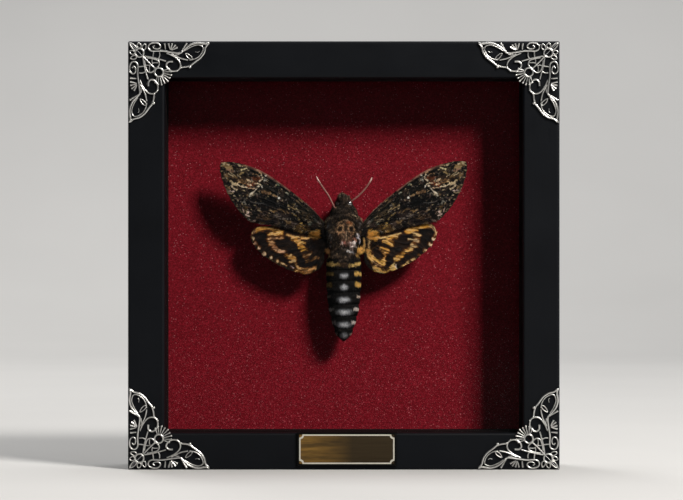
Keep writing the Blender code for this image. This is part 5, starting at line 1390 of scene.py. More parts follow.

# %% [markdown]
# The body's pattern is one function of place, so the skin and every tuft on it agree. The thorax is
# brown black with the tan skull mark, two dark eye spots in tan rings, a pale line between them and a
# painted pale shine below. The abdomen is black, with ochre bars at the sides and a row of grey spots.
# The bars on the left side are painted faint as painted shade, and the grey spots have painted highlights in
# their middles.

# %% The body's markings
BODY_MARKS = [
    ([(0.2, 15.2), (2.2, 15.4)], 3.2, (88, 66, 50), 0.8),
    ([(1.8, 16.0), (3.2, 15.2)], 1.7, (164, 104, 62), 0.85),
    ([(0.1, 16.8), (1.8, 16.9)], 0.6, (196, 172, 148), 0.9),
    ([(-1.6, 12.8), (3.0, 12.8)], 4.6, (104, 78, 58), 0.85),
    ([(-0.7, 9.6), (2.4, 9.6)], 4.6, (108, 80, 60), 0.85),
    ([(-0.2, 6.4), (2.2, 6.2)], 3.2, (96, 70, 56), 0.8),
    ([(-3.6, 14.0), (-3.0, 16.2), (-0.8, 17.6), (1.4, 17.9), (3.6, 17.4), (5.2, 15.4), (5.6, 13.0)], 0.6,
     (12, 9, 8), 0.9),
    ([(-2.7, 14.8), (-1.2, 16.5), (1.1, 17.0), (3.2, 16.5), (4.7, 14.8)], 0.5, (164, 130, 96), 0.8),
    ([(-3.4, 10.6), (-2.6, 8.8), (-2.4, 6.8)], 0.7, (14, 10, 9), 0.9),
    ([(5.1, 10.8), (4.6, 9.0), (4.4, 7.2)], 0.7, (14, 10, 9), 0.85),
    ([(-2.9, 12.8), (-2.0, 14.3), (-0.5, 14.2), (-0.1, 12.8), (-0.8, 11.3), (-2.2, 11.0), (-3.0, 12.0)], 0.6,
     (204, 164, 120), 1.0),
    ([(2.0, 12.8), (2.4, 14.2), (4.0, 14.4), (4.8, 13.0), (4.6, 11.4), (3.2, 10.9), (2.2, 11.6)], 0.6,
     (204, 164, 120), 1.0),
    ([(-0.4, 10.2), (0.2, 8.6), (1.8, 8.6), (2.2, 10.0)], 1.6, (134, 108, 84), 0.75),
    ([(-1.5, 12.3), (-1.45, 13.1)], 1.4, (6, 4, 4), 1.0),
    ([(3.3, 12.3), (3.3, 13.2)], 1.4, (6, 4, 4), 1.0),
    ([(0.85, 15.6), (0.85, 11.8)], 0.55, (22, 16, 13), 0.85),
    ([(1.3, 11.6), (1.15, 9.4), (0.9, 7.4)], 0.55, (222, 194, 160), 0.95),
    ([(-0.2, 10.8), (-0.5, 8.2)], 0.4, (44, 30, 24), 0.8),
    ([(2.6, 10.8), (2.7, 8.2)], 0.4, (44, 30, 24), 0.8),
    ([(-3.4, 3.6), (-5.0, 2.4)], 0.7, (92, 72, 60), 0.6),
    ([(-5.6, 6.6), (-6.6, 4.6), (-5.4, 2.8)], 0.6, (120, 92, 76), 0.6),
    ([(-6.1, 10.3), (-6.8, 8.4), (-7.9, 6.4), (-8.9, 5.0)], 0.5, (96, 92, 90), 0.7),
    ([(-5.2, 20.9), (-6.8, 18.6), (-8.6, 15.6), (-9.2, 13.4)], 0.45, (62, 56, 48), 0.7),
    ([(3.9, 19.4), (5.2, 18.8)], 0.6, (172, 154, 122), 0.9),
    ([(6.2, 1.0), (8.2, 2.0), (9.6, 3.4)], 2.4, (190, 146, 78), 0.9),
    ([(-6.8, 0.8), (-8.6, 1.8)], 1.8, (84, 60, 34), 0.7),
    ([(-1.2, 29.6), (0.2, 28.9)], 1.3, (186, 150, 134), 0.95),
    ([(-3.2, 28.4), (-2.4, 28.8)], 0.8, (128, 104, 92), 0.8),
    ([(-2.2, 27.2), (-0.6, 26.6), (1.2, 27.0)], 1.0, (50, 44, 38), 0.6),
    ([(-1.8, 22.4), (0.4, 22.0), (2.6, 22.4)], 0.6, (62, 54, 46), 0.6),
    ([(-1.4, -1.6), (1.4, -1.4)], 1.6, (64, 48, 38), 0.8),
    ([(-1.8, -2.4), (0.2, -1.2), (2.2, -2.2)], 0.6, (120, 102, 86), 0.7),
    ([(-8.2, -3.5), (-5.8, -3.6), (-3.0, -4.0)], 1.6, (244, 204, 122), 1.0),
    ([(2.4, -4.5), (5.0, -4.2), (8.4, -2.9)], 1.6, (252, 214, 130), 1.0),
    ([(-2.8, -4.2), (2.6, -4.2)], 1.9, (84, 62, 44), 0.75),
]
# Painted highlights: pale shine on the lower thorax and a bright line along the right flap's edge, where the
# lamp catches them, with a few pale and grey lines of the coat.
PAINTED_SHINE_AND_HAIR_MARKS = [
    ([(-0.6, 6.6), (-0.7, 5.2)], 1.0, (214, 184, 172), 0.85),
    ([(0.3, 6.8), (0.9, 5.4)], 1.2, (196, 128, 116), 0.85),
    ([(2.6, 6.2), (3.0, 5.2)], 1.1, (214, 176, 164), 0.85),
    ([(4.3, 6.4), (4.5, 5.0)], 1.7, (250, 232, 222), 1.0),
    ([(3.2, 3.6), (3.8, 3.4)], 0.9, (236, 206, 194), 0.9),
    ([(4.0, 8.4), (5.2, 7.6)], 1.2, (170, 118, 96), 0.8),
    ([(1.6, 2.4), (3.8, 2.1)], 0.8, (206, 204, 206), 0.8),
    ([(-1.4, 3.4), (0.8, 3.6)], 0.8, (120, 104, 98), 0.75),
    ([(6.0, 10.2), (6.9, 8.1), (7.9, 6.4), (8.7, 5.2)], 0.85, (224, 220, 230), 1.0),
    ([(8.9, 14.4), (9.1, 11.8)], 0.5, (120, 120, 126), 0.85),
    ([(5.8, 16.4), (7.2, 15.2), (6.6, 13.6)], 0.5, (112, 102, 98), 0.8),
    ([(5.0, 21.4), (6.6, 19.4), (7.4, 17.6), (8.1, 16.2)], 0.6, (152, 116, 96), 0.85),
    ([(-5.4, 9.0), (-6.4, 6.8), (-6.0, 4.4)], 0.45, (104, 100, 100), 0.7),
    ([(-6.6, 14.8), (-7.4, 12.6), (-7.2, 10.2)], 0.45, (70, 72, 76), 0.7),
]
SIDE_BARS = [
    (-8.3, 4.6, 1.9, (250, 206, 116)), (-13.4, 5.0, 2.4, (250, 202, 110)), (-18.9, 6.0, 1.3, (236, 210, 190)),
    (-25.0, 4.2, 1.5, (255, 240, 230)), (-31.2, 3.4, 1.7, (255, 240, 230)), (-36.4, 2.6, 1.2, (246, 226, 206)),
]
GREY_SPOTS = [(-9.3, 1.9, 2.4), (-14.7, 1.7, 2.5), (-20.4, 2.7, 2.6), (-26.3, 3.3, 2.6), (-32.2, 3.3, 2.6),
              (-37.3, 1.9, 2.4)]


def body_markings(spots):
    """The coat's colour at rows of (across, along, height) in millimetres, seen from every side."""
    x, along, height = spots.T
    count = len(spots)
    colours = np.tile(linear((42, 34, 28)), (count, 1))
    drift = patchy(spots, 2.2, 81)
    blend_in(colours, (88, 70, 54), 0.7 * held(drift + patchy(spots, 0.8, 82) * 0.6))
    blend_in(colours, (12, 10, 9), 0.85 * held(-drift + patchy(spots, 0.9, 83) * 0.5))
    tail = held((-1.0 - along) / 0.8)
    blend_in(colours, (122, 102, 74), 0.7 * flecks(spots * (1, 0.6, 1), 0.55, 401, 0.62))
    blend_in(colours, (10, 9, 8), 0.8 * flecks(spots * (1, 0.6, 1), 0.6, 411, 0.4))
    blend_in(colours, (11, 10, 11), 0.93 * tail)
    plane = spots[:, :2]
    face_up = held((height - 10.8) / 1.2)
    painted = colours.copy()
    paint(painted, plane, BODY_MARKS, 300, bend=0.16, ragged=0.26, soft=0.2)
    paint(painted, plane, PAINTED_SHINE_AND_HAIR_MARKS, 320, bend=0.2, ragged=0.5, soft=0.3)
    colours += (painted - colours) * face_up[:, None]
    wobble = patchy(spots, 1.2, 84) * 0.35 + patchy(spots, 0.4, 85) * 0.25
    # The grey spots are the abdomen's own colour, and their near-white middles are painted highlight.
    for middle, half, tall in GREY_SPOTS:
        reach = ((x + wobble) / half) ** 2 + ((along - middle + wobble) / (tall / 2)) ** 2
        blend_in(colours, (160, 162, 168), 0.95 * np.exp(-reach ** 1.9) * face_up)
        blend_in(colours, (250, 250, 252), 1.0 * np.exp(-reach * 2.2) * face_up)
    # Painted shade: the bars on the left side are laid faint, as that side lies in shade.
    for middle, inner, tall, colour in SIDE_BARS:
        cover = held((np.abs(x) + wobble - inner) / 0.5)
        cover *= held((tall / 2 + wobble * 0.7 - np.abs(along - middle)) / 0.3)
        blend_in(colours, colour, cover * np.where(x < 0, 0.2 if middle > -22 else 0.32, 0.95))
    under = held((tail - 0.5) * 2) * held((8.4 - height) / 1.6)
    banded = held(0.75 + np.sin((along + 2.4) * 2 * math.pi / 5.7) * 1.4)
    blend_in(colours, (176, 134, 66), 0.8 * under * banded)
    return held(colours)


print("body:", len(BODY_MARKS) + len(PAINTED_SHINE_AND_HAIR_MARKS), "marks and", len(GREY_SPOTS), "grey spots")

# %% [markdown]
# The skin's finish shows between the tufts. It is dark and dull, with the short flat fur as bump.

# %% Down on the skin, and the hair itself
down, tree, shader = finish("short_down", 0.9)
colour = add(tree, "ShaderNodeVertexColor", {"layer_name": "scale_colour"}).outputs[0]
fur_grain = noise(tree, place_of(tree, (1.0, 1.0, 0.22)), 0.00016, 4.0, 0.7)
deep = mixed(tree, 1.0, colour, (0.45, 0.45, 0.45), "MULTIPLY")
dye(shader, mixed(tree, mask(tree, fur_grain, 0.3, 0.7), deep, colour), shine=0.1)
bumped(tree, shader, fur_grain, 0.0002, 0.9)

hair, tree, shader = finish("moth_hair", 0.55)
colour = add(tree, "ShaderNodeVertexColor", {"layer_name": "scale_colour"}).outputs[0]
strand = noise(tree, place_of(tree, (1.0, 1.0, 0.3)), 0.00025, 3.0)
light = mixed(tree, 1.0, colour, (1.4, 1.37, 1.34), "MULTIPLY")
base = mixed(tree, mask(tree, strand, 0.35, 0.65, 0.0, 0.45), colour, light)
dye(shader, base, mask(tree, strand, 0.3, 0.7, 0.42, 0.7), 0.16)

skin_spots = vertex_rows(skin.data)
tint(skin, body_markings(skin_spots))
move_points(skin.data, placed(skin_spots))
skin.data.materials.clear()
skin.data.materials.append(down)
turn_if_inside_out(skin)
skin.data.shade_smooth()
hand_over(skin, "dark_down", "thorax", "head", "abdomen", "palp_left", "palp_right")
print("skin painted:", len(skin_spots), "points")

# %% [markdown]
# The coat is thousands of thin tufts. Each is a closed blade: a three-sided root, a three-sided middle
# and one tip, bent along the lie of the coat. They are computed as arrays and joined into one mesh for
# each part of the body, because particle hair would be dropped on the way out. Each tuft carries its
# root's place on a map of the skin unrolled round the body.

# %% Sampling the skin


def skin_triangles(obj):
    """The skin's triangles as rows of three places, with the normal at each."""
    mesh = obj.data
    mesh.calc_loop_triangles()
    triangles = np.empty(len(mesh.loop_triangles) * 3, np.int32)
    mesh.loop_triangles.foreach_get("vertices", triangles)
    normals = np.empty(len(mesh.vertices) * 3)
    mesh.vertex_normals.foreach_get("vector", normals)
    rows = vertex_rows(mesh)
    corners = triangles.reshape(-1, 3)
    return rows[corners], normals.reshape(-1, 3)[corners]


def scattered(corners, normals, count, draw):
    """Random places spread evenly over the triangles, with the surface's direction at each."""
    area = np.linalg.norm(np.cross(corners[:, 1] - corners[:, 0], corners[:, 2] - corners[:, 0]), axis=1)
    chosen = draw.choice(len(area), count, p=area / area.sum())
    first, second = draw.random((2, count, 1))
    flip = first + second > 1
    first, second = np.where(flip, 1 - first, first), np.where(flip, 1 - second, second)
    shares = (1 - first - second, first, second)
    spots = sum(share * corners[chosen, k] for k, share in enumerate(shares))
    outward = sum(share * normals[chosen, k] for k, share in enumerate(shares))
    return spots, outward / np.linalg.norm(outward, axis=1, keepdims=True)


def as_moth(places):
    """Turns places in metres back into (across, along, height) in millimetres."""
    return np.stack([places[:, 0], places[:, 2] - CENTRE_Z, CARD_Y - places[:, 1]], axis=1) / MM


def unit(rows):
    """Each row with a length of 1."""
    return rows / np.maximum(np.linalg.norm(rows, axis=1, keepdims=True), 1e-12)


def unrolled(spots):
    """Places on the skin unrolled round the body: the angle round it, then the way along it."""
    x, along, height = spots.T
    angle = np.arctan2(x, height - BODY_MIDDLE) / (2 * math.pi) + 0.5
    return np.stack([angle * 0.98 + 0.005, held((along + 42) / 74) * 0.98 + 0.005], axis=1)


corners, normals = skin_triangles(skin)
middles = as_moth(corners.mean(axis=1))
print("skin triangles:", len(corners))

# %% Tufts as one mesh
ROOT_DEPTH = 0.12 * MM
TUFT_PATCH = 0.003


def tufts(name, roots, outward, lie, sizes, lift, colours, patches, look, seed):
    """Closed tufts from rows of roots. sizes holds lengths and widths, and lift how far they stand off."""
    draw = np.random.default_rng(seed)
    length, width = (sizes[:, k, None] * MM for k in (0, 1))
    lie = unit(lie - outward * np.einsum("ij,ij->i", lie, outward)[:, None])
    side = np.cross(lie, outward)
    swerve = draw.normal(0, 0.16, (len(roots), 1))
    lift = np.asarray(lift, float).reshape(-1, 1)
    low = roots - outward * ROOT_DEPTH
    middle = roots + (lie + side * swerve * 0.4) * length * 0.52 + outward * length * lift * 0.62
    tip = roots + (lie + side * swerve) * length + outward * length * lift * 0.8
    rows = [low + side * width * 0.5, low - side * width * 0.5,
            low + outward * width * 0.55 + lie * width * 0.2,
            middle + side * width * 0.4, middle - side * width * 0.4, middle + outward * width * 0.4, tip]
    spots = np.stack(rows, axis=1).reshape(-1, 3)
    shape = np.array([(0, 1, 2), (0, 3, 4), (0, 4, 1), (1, 4, 5), (1, 5, 2), (2, 5, 3), (2, 3, 0),
                      (3, 6, 4), (4, 6, 5), (5, 6, 3)])
    faces = (np.arange(len(roots))[:, None, None] * 7 + shape).reshape(-1, 3)
    made = mesh_of(name, spots, faces, look)
    # Painted shade and highlight: each tuft is darker at its root, down in the coat, and lighter towards its
    # tip.
    shade = np.array([0.55, 0.55, 0.6, 1.0, 1.0, 1.1, 1.25])
    tint(made, brightened((colours[:, None, :] * shade[None, :, None]).reshape(-1, 3), 1.0))
    local = np.array([(0, 0), (1, 0), (0.5, 0.15), (0.12, 0.6), (0.88, 0.6), (0.5, 0.72), (0.5, 1.0)])
    lay_map(made, (patches[:, None, :] + local * TUFT_PATCH).reshape(-1, 2))
    turn_if_inside_out(made)
    return made


def coat(name, chosen, count, seed, lie_of, sizes_of, lift_of, slot, node):
    draw = np.random.default_rng(seed)
    roots, outward = scattered(corners[chosen], normals[chosen], count, draw)
    spots = as_moth(roots)
    from_eye = np.linalg.norm(np.stack([np.abs(spots[:, 0]), *spots.T[1:]], axis=1) - EYE_SPOT, axis=1)
    clear = from_eye > EYE_RADIUS + 0.35
    roots, outward, spots = roots[clear], outward[clear], spots[clear]
    sizes = sizes_of(spots) * draw.uniform(0.75, 1.25, (len(spots), 1))
    clump = patchy(spots, 0.8, seed + 1)
    uneven = np.where(spots[:, 1] > WAIST, 1.15, 0.4) * (clump + 0.6 * patchy(spots, 0.4, seed + 3))
    colours = body_markings(spots) * np.exp(uneven + draw.normal(0, 0.2, len(spots)))[:, None]
    pale = (draw.random(len(spots)) < 0.17) & (spots[:, 1] > WAIST)
    colours = np.where(pale[:, None], colours * 2.3 + linear((44, 34, 26)), colours)
    lift = lift_of(spots) * draw.uniform(0.6, 1.4, len(spots)) + 0.12 * clump
    made = tufts(name, roots, outward, lie_of(spots, outward), sizes, lift, brightened(colours, 1.0),
                 unrolled(spots), hair, seed + 2)
    hand_over(made, slot, node)
    print(name, len(spots), "tufts,", len(made.data.polygons), "triangles")


def world_of(across, along, height):
    """A direction on the moth as a direction in the scene."""
    return np.stack([across, -height, along], axis=1)


print("coat helpers ready")

# %% [markdown]
# The coat lies back along the thorax and fans out over its flaps, sweeps forward and up over the brow,
# and lies flat and short down the abdomen, longer where it fringes the sides of each segment. On the
# face the tufts are the smallest.

# %% The coat of the head


def head_lie(spots, outward):
    """Forward on the brow, back at the neck, and a little up."""
    x, along = spots.T[:2]
    forward = np.clip((along - 23.5) / 2.0, -1, 1)
    return world_of(x * 0.12, forward * 0.8, 0.25 * np.ones(len(x))) + outward * 0.2


def head_sizes(spots):
    """Long on the brow and at the collar, and short on the face."""
    x, along, height = spots.T
    brow = np.exp(-((along - 27.2) ** 2 + (x + 1.2) ** 2 + (height - 13.2) ** 2) / 6)
    face = held((9.5 - height) / 3) + 0.9 * held(x - 0.6) * held(along - 26.2)
    collar = held((23.6 - along) / 2.4)
    length = 0.75 + 0.7 * brow - 0.2 * face + 0.4 * collar
    return np.stack([length, 0.13 + 0.02 * brow + 0.02 * collar], axis=1)


def head_lift(spots):
    """Up on the brow, and flatter at the collar."""
    x, along, height = spots.T
    collar = held((23.6 - along) / 2.4)
    return 0.35 - 0.13 * collar + 0.5 * np.exp(-((along - 27.2) ** 2 + x ** 2 + (height - 13.2) ** 2) / 6)


neck = 20.8 + 1.2 * patchy(middles, 1.1, 90)
coat("coat_head", middles[:, 1] > neck, 12500, 11, head_lie, head_sizes, head_lift, "dark_down", "head")

# %% The coat of the thorax, in two halves


def thorax_lie(spots, outward):
    """Back along the body, out over the flaps, and up in a ruff behind the head."""
    x, along = spots.T[:2]
    fan = np.sign(x) * held((np.abs(x) - 4.5) / 4) * held((along - 2) / 12)
    ruff = held((along - 16.5) / 3)
    return world_of(fan * 0.5 + x * 0.07, -1.0 + 0.55 * ruff, 0.2 * ruff)


def thorax_sizes(spots):
    """Longer at the flanks and at the back."""
    x, along = spots.T[:2]
    flank = held((np.abs(x) - 5.5) / 3)
    back = held((3.5 - along) / 3)
    return np.stack([0.85 + 0.75 * flank + 0.65 * back, 0.13 + 0.025 * flank], axis=1)


def thorax_lift(spots):
    """Up in the ruff and along the edges of the flaps."""
    x, along = spots.T[:2]
    ruff = np.exp(-((along - 17.8) / 1.6) ** 2)
    edge = np.exp(-((np.abs(x) - 5.2) / 0.9) ** 2)
    return 0.22 + 0.2 * ruff + 0.16 * edge


chest = (middles[:, 1] <= neck) & (middles[:, 1] > WAIST)
above = middles[:, 2] > 11.5
for half, chosen, seed in (("upper", chest & above, 21), ("lower", chest & ~above, 31)):
    coat("coat_thorax_" + half, chosen, 19000, seed, thorax_lie, thorax_sizes, thorax_lift,
         "dark_down", "thorax")

# %% The coat of the abdomen, in two halves


def abdomen_lie(spots, outward):
    """Straight down the abdomen."""
    x = spots[:, 0]
    return world_of(x * 0.05, -np.ones(len(x)), 0 * x)


def segment_share(along):
    """How far down its own segment each place lies."""
    ends = np.array(SEGMENT_ENDS[::-1])
    which = np.clip(np.searchsorted(ends, along) - 1, 0, len(ends) - 2)
    return 1 - (along - ends[which]) / (ends[which + 1] - ends[which])


def abdomen_sizes(spots):
    """Longer at the end of each segment, at the sides and at the tip."""
    x, along = spots.T[:2]
    rim = held(segment_share(along) - 0.55) * 2
    side = held(np.abs(x) / 7 - 0.4)
    tip = held((-34 - along) / 4)
    return np.stack([0.7 + 0.45 * rim + 0.3 * side + 0.5 * tip, 0.19 - 0.04 * tip], axis=1)


def abdomen_lift(spots):
    """Up where a segment ends."""
    return 0.1 + 0.3 * held(segment_share(spots[:, 1]) - 0.6)


tail = middles[:, 1] <= WAIST
above = middles[:, 2] > BODY_MIDDLE
for half, chosen, seed in (("upper", tail & above, 41), ("lower", tail & ~above, 51)):
    coat("coat_abdomen_" + half, chosen, 17000, seed, abdomen_lie, abdomen_sizes, abdomen_lift,
         "banded_down", "abdomen")

# %% [markdown]
# Where the down has rubbed off the back of the thorax, smooth pale horn shows through the fur and
# catches the lamp. Each bare patch is a low dome on the skin, laid along the skin's own direction.

# %% Bare patches on the thorax
bare, tree, shader = finish("bare_horn", 0.35)
at = place_of(tree)
cloud = noise(tree, at, 0.0008, 3.0)
rough = mask(tree, noise(tree, at, 0.0005), 0.3, 0.7, 0.28, 0.5)
dye(shader, mixed(tree, mask(tree, cloud, 0.3, 0.6), tone(186, 142, 128), tone(250, 238, 230)), rough)
bumped(tree, shader, noise(tree, at, 0.00035, 3.0), 0.00012, 0.8)
BARE_DOMES = [(4.7, 5.7, 0.85, 1.15, -10), (3.5, 3.8, 0.75, 0.36, 0), (3.05, 5.8, 0.34, 0.6, 0),
              (-0.65, 5.6, 0.28, 0.8, 6), (6.35, 9.5, 0.3, 1.1, 18), (7.2, 7.5, 0.34, 1.2, 30),
              (8.2, 5.9, 0.42, 0.95, 32), (9.05, 12.0, 0.24, 0.8, 4), (2.0, 2.3, 0.8, 0.24, -8)]
DOME_RISE = 0.42
DOME_SEAT = 0.14 * MM
horn_spots, horn_ways = as_moth(corners.reshape(-1, 3)), normals.reshape(-1, 3)
bm = bmesh.new()
for across, along, half, tall, turn in BARE_DOMES:
    away = np.hypot(horn_spots[:, 0] - across, horn_spots[:, 1] - along)
    near = np.argmin(np.where(horn_spots[:, 2] < 10, np.inf, away))
    up = Vector(horn_ways[near]).normalized()
    aside = Vector((1.0, 0.0, 0.0))
    aside = (aside - up * aside.dot(up)).normalized()
    root = Vector(placed([horn_spots[near]])[0]) + up * DOME_SEAT
    matrix = Matrix.Translation(root) @ Matrix((aside, up.cross(aside), up)).transposed().to_4x4()
    matrix = matrix @ Matrix.Rotation(math.radians(turn), 4, "Z")
    matrix = matrix @ Matrix.Diagonal((half, tall, DOME_RISE, 1.0))
    bmesh.ops.create_uvsphere(bm, u_segments=24, v_segments=14, radius=MM, matrix=matrix)
domes = from_bmesh("bare_patches", bm, bare)
domes.data.shade_smooth()
hand_over(domes, "horny_brown", "thorax")
print("bare patches:", len(BARE_DOMES))

# %% [markdown]
# Long hair also grows at the wing roots and along the inner edge of each hindwing, and a fine fringe
# edges every wing. These tufts take their colour from the wing's own markings at their roots.

# %% Hair at the wing roots and fringes
HAIR_GRID = np.array([120, 90])


def hair_on_wing(name, plan, sign, shares, lie_way, sizes, lift, seed, slot, node):
    """Tufts rooted at (out, across) shares of a wing, pointing along a way in the wing's own plane."""
    draw = np.random.default_rng(seed)
    grid = wing_grid(plan, *HAIR_GRID)[0]
    spread = shares * (HAIR_GRID - 1)
    rows, columns = np.clip(spread.astype(int), 0, HAIR_GRID - 2).T
    part_out, part_across = (spread - np.stack([rows, columns], axis=1)).T[:, :, None]
    near = grid[rows, columns] * (1 - part_across) + grid[rows, columns + 1] * part_across
    far = grid[rows + 1, columns] * (1 - part_across) + grid[rows + 1, columns + 1] * part_across
    place = near * (1 - part_out) + far * part_out
    height = sheet_height(plan, place, shares[:, 0], shares[:, 1])
    x, along = turned_into_place(place, plan, plan["sweep"][sign])
    roots = placed(np.stack([sign * x, along, height + 0.04], axis=1))
    ahead = place + lie_way(place, shares) * 0.5
    x_ahead, along_ahead = turned_into_place(ahead, plan, plan["sweep"][sign])
    lie = world_of(sign * (x_ahead - x), along_ahead - along, 0 * x)
    lie = unit(lie + draw.normal(0, 0.12, lie.shape) * np.linalg.norm(lie, axis=1, keepdims=True))
    outward = np.tile((0.0, -1.0, 0.0), (len(x), 1))
    chart = np.stack(turned_into_place(place, plan, plan["sweep"][1]), axis=1)
    colours = MARKINGS[node](chart, shares[:, 0], shares[:, 1], np.zeros(len(x)))[0]
    colours = brightened(colours, draw.uniform(0.7, 1.5, len(x)))
    patches = shares * MAP_SIZE + UPPER_MAP
    sizes, lift = sizes(shares, draw), np.full(len(x), lift)
    made = tufts(name, roots, outward, lie, sizes, lift, colours, patches, hair, seed)
    hand_over(made, slot, node)
    print(name, len(x), "tufts")


def outwards_way(place, shares):
    """Out along the wing, and fanned out across it."""
    return np.stack([np.full(len(place), 0.72), (shares[:, 1] - 0.25) * 1.1], axis=1)


def hindwards_way(place, shares):
    """Back over the wing's hind edge."""
    return np.stack([np.full(len(place), 0.35), np.full(len(place), 0.9)], axis=1)


def fringe_sizes(shares, draw):
    """Short and fine."""
    return np.stack([draw.uniform(0.35, 0.8, len(shares)), np.full(len(shares), 0.12)], axis=1)


def root_sizes(shares, draw):
    """Long at the root, and shorter further out."""
    fade = np.clip(1.3 - shares[:, 0] * 2.6, 0.3, 1)
    return np.stack([draw.uniform(1.1, 2.3, len(shares)) * fade, np.full(len(shares), 0.13)], axis=1)


def inner_sizes(shares, draw):
    """Of middling length."""
    return np.stack([draw.uniform(0.8, 1.7, len(shares)), np.full(len(shares), 0.13)], axis=1)


for side, sign in SIDES:
    for kind, plan, slot in (("forewing", FORE, "fore_scales"), ("hindwing", HIND, "hind_scales")):
        draw = np.random.default_rng(600 + sign)
        edge = np.stack([np.full(1500, 0.997), draw.random(1500)], axis=1)
        near = np.stack([draw.random(4200) ** 1.5 * 0.42, draw.random(4200)], axis=1)
        inner = np.stack([draw.random(1800) * 0.96, 1 - draw.random(1800) ** 2 * 0.07], axis=1)
        for part, shares, lie_way, sizes, lift, seed in (
                ("fringe", edge, outwards_way, fringe_sizes, 0.0, 610),
                ("root_hair", near, outwards_way, root_sizes, 0.25, 620),
                ("inner_hair", inner, hindwards_way, inner_sizes, 0.12, 630)):
            name = f"{kind}_{part}_{side}"
            hair_on_wing(name, plan, sign, shares, lie_way, sizes, lift, seed, slot, f"{kind}_{side}")

# %% [markdown]
# Where the right hindwing joins the body a tuft of long ochre hair stands out over the waist, and a
# thinner one edges the flap above it. Their roots lie along a line, each a little off it.

# %% Ochre tufts at the waist


def brush_of_hair(name, line, ahead, count, size, colour, seed):
    """A brush of hair rooted along a line in millimetres on the moth, which leans one way."""
    draw = np.random.default_rng(seed)
    share = draw.random(count)
    path = even_spline(line, 40)
    roots = np.stack([np.interp(share, np.linspace(0, 1, 40), path[:, k]) for k in range(3)], axis=1)
    roots += draw.normal(0, 0.12 + 0.1 * size, roots.shape) * (1, 1, 0.5)
    lean = np.array(ahead) + draw.normal(0, 0.22, (count, 3))
    sizes = np.stack([draw.uniform(0.7, 1.2, count) * size, np.full(count, 0.14)], axis=1)
    uneven = draw.normal(0, 0.4, (count, 1)) + 0.6 * patchy(roots, 0.5, seed)[:, None]
    colours = brightened(linear(colour) * np.exp(uneven), 1.0)
    made = tufts(name, placed(roots), np.tile((0.0, -1.0, 0.0), (count, 1)), world_of(*lean.T), sizes,
                 np.full(count, 0.2), colours, unrolled(roots), hair, seed)
    hand_over(made, "dark_down", "thorax")
    print(name, count, "tufts")


brush_of_hair("waist_tuft_right", [(5.6, 1.2, 13.0), (6.8, 1.4, 13.0), (8.0, 2.4, 12.9)],
              (0.5, 0.35, 0.0), 700, 2.2, (236, 184, 100), 71)
brush_of_hair("waist_tuft_left", [(-6.0, 1.2, 12.8), (-7.4, 1.8, 12.6)],
              (-0.5, 0.3, 0.0), 400, 1.7, (120, 84, 48), 72)
brush_of_hair("flap_edge_right", [(9.2, 3.0, 13.2), (9.5, 5.6, 13.6), (9.3, 8.4, 13.6)],
              (0.1, -0.8, 0.0), 260, 0.9, (206, 166, 104), 73)

# %% [markdown]
# A moth's eye is a dark glossy ball of hundreds of facets. A sphere with a fine cell pattern as bump
# gives the facets, and a clear coat gives the one hard glint. The left eye has dried dull.

# %% Eyes


def eye_finish(name, wet):
    """Dark facets under a clear coat, which is thinner on a dry eye."""
    look, tree, shader = finish(name, 0.22)
    at = place_of(tree)
    from_middle = cells(tree, at, 0.00016)[0]
    shade = noise(tree, at, 0.0011, 2.0)
    base = mixed(tree, shade, tone(24, 14, 12), tone(52, 34, 26))
    base = mixed(tree, mask(tree, from_middle, 0.2, 0.6, 0.0, 0.5), base, tone(12, 8, 8))
    dye(shader, base, mask(tree, shade, 0.3, 0.7, 0.5 - 0.3 * wet, 0.6 - 0.3 * wet), 0.1 + 0.4 * wet)
    feed(shader, {"Coat Weight": wet, "Coat Roughness": 0.23, "Coat IOR": 2.3})
    bumped(tree, shader, mask(tree, from_middle, 0.0, 0.7, 1.0, 0.0), 0.00002, 0.5)
    return look


EYE_LOOKS = {"left": eye_finish("dry_eye", 0.12), "right": eye_finish("faceted_eye", 1.0)}
for side, sign in SIDES:
    bm = bmesh.new()
    bmesh.ops.create_icosphere(bm, subdivisions=5, radius=EYE_RADIUS * MM)
    bm.transform(Matrix.Translation(placed([(sign * EYE_SPOT[0], *EYE_SPOT[1:])])[0]))
    ball = from_bmesh("faceted_eye_" + side, bm, EYE_LOOKS[side])
    ball.data.shade_smooth()
    hand_over(ball, "eye_shine", "eye_" + side)
print("eyes done")

# %% [markdown]
# Antennae, legs and tongue are jointed stalks. One tree makes them all: it turns a line into a curve,
# spaces points evenly along it, and swells and pinches a round section in rings as the joints do. The
# line carries its own thickness at each point.

# %% The tree that grows ringed stalks
sizes = {"Points": "Int", "Sides": "Int", "Ring Length": "Float", "Ring Depth": "Float", "Look": "Material"}
tree, given = new_tree("ringed_stalk", sizes)
curves, radius, ring = line_inputs(tree, given)
even = add(tree, "GeometryNodeResampleCurve", None, {"Curve": curves, "Count": given["Points"]}).outputs[0]
run = add(tree, "GeometryNodeSplineParameter").outputs["Length"]
phase = maths(tree, "MULTIPLY", maths(tree, "DIVIDE", run, given["Ring Length"]), math.pi)
pinch = maths(tree, "POWER", maths(tree, "ABSOLUTE", maths(tree, "COSINE", phase)), 6.0)
pinch = maths(tree, "MULTIPLY", pinch, given["Ring Depth"])
scale = maths(tree, "MULTIPLY", radius, maths(tree, "SUBTRACT", 1.0, pinch))
inputs = {"Curve": even, "Profile Curve": ring, "Scale": scale, "Fill Caps": True}
stalk = add(tree, "GeometryNodeCurveToMesh", None, inputs).outputs[0]
end_tree(tree, add(tree, "GeometryNodeSetShadeSmooth", None, {0: stalk}).outputs[0], given["Look"])
stalk_tree = tree


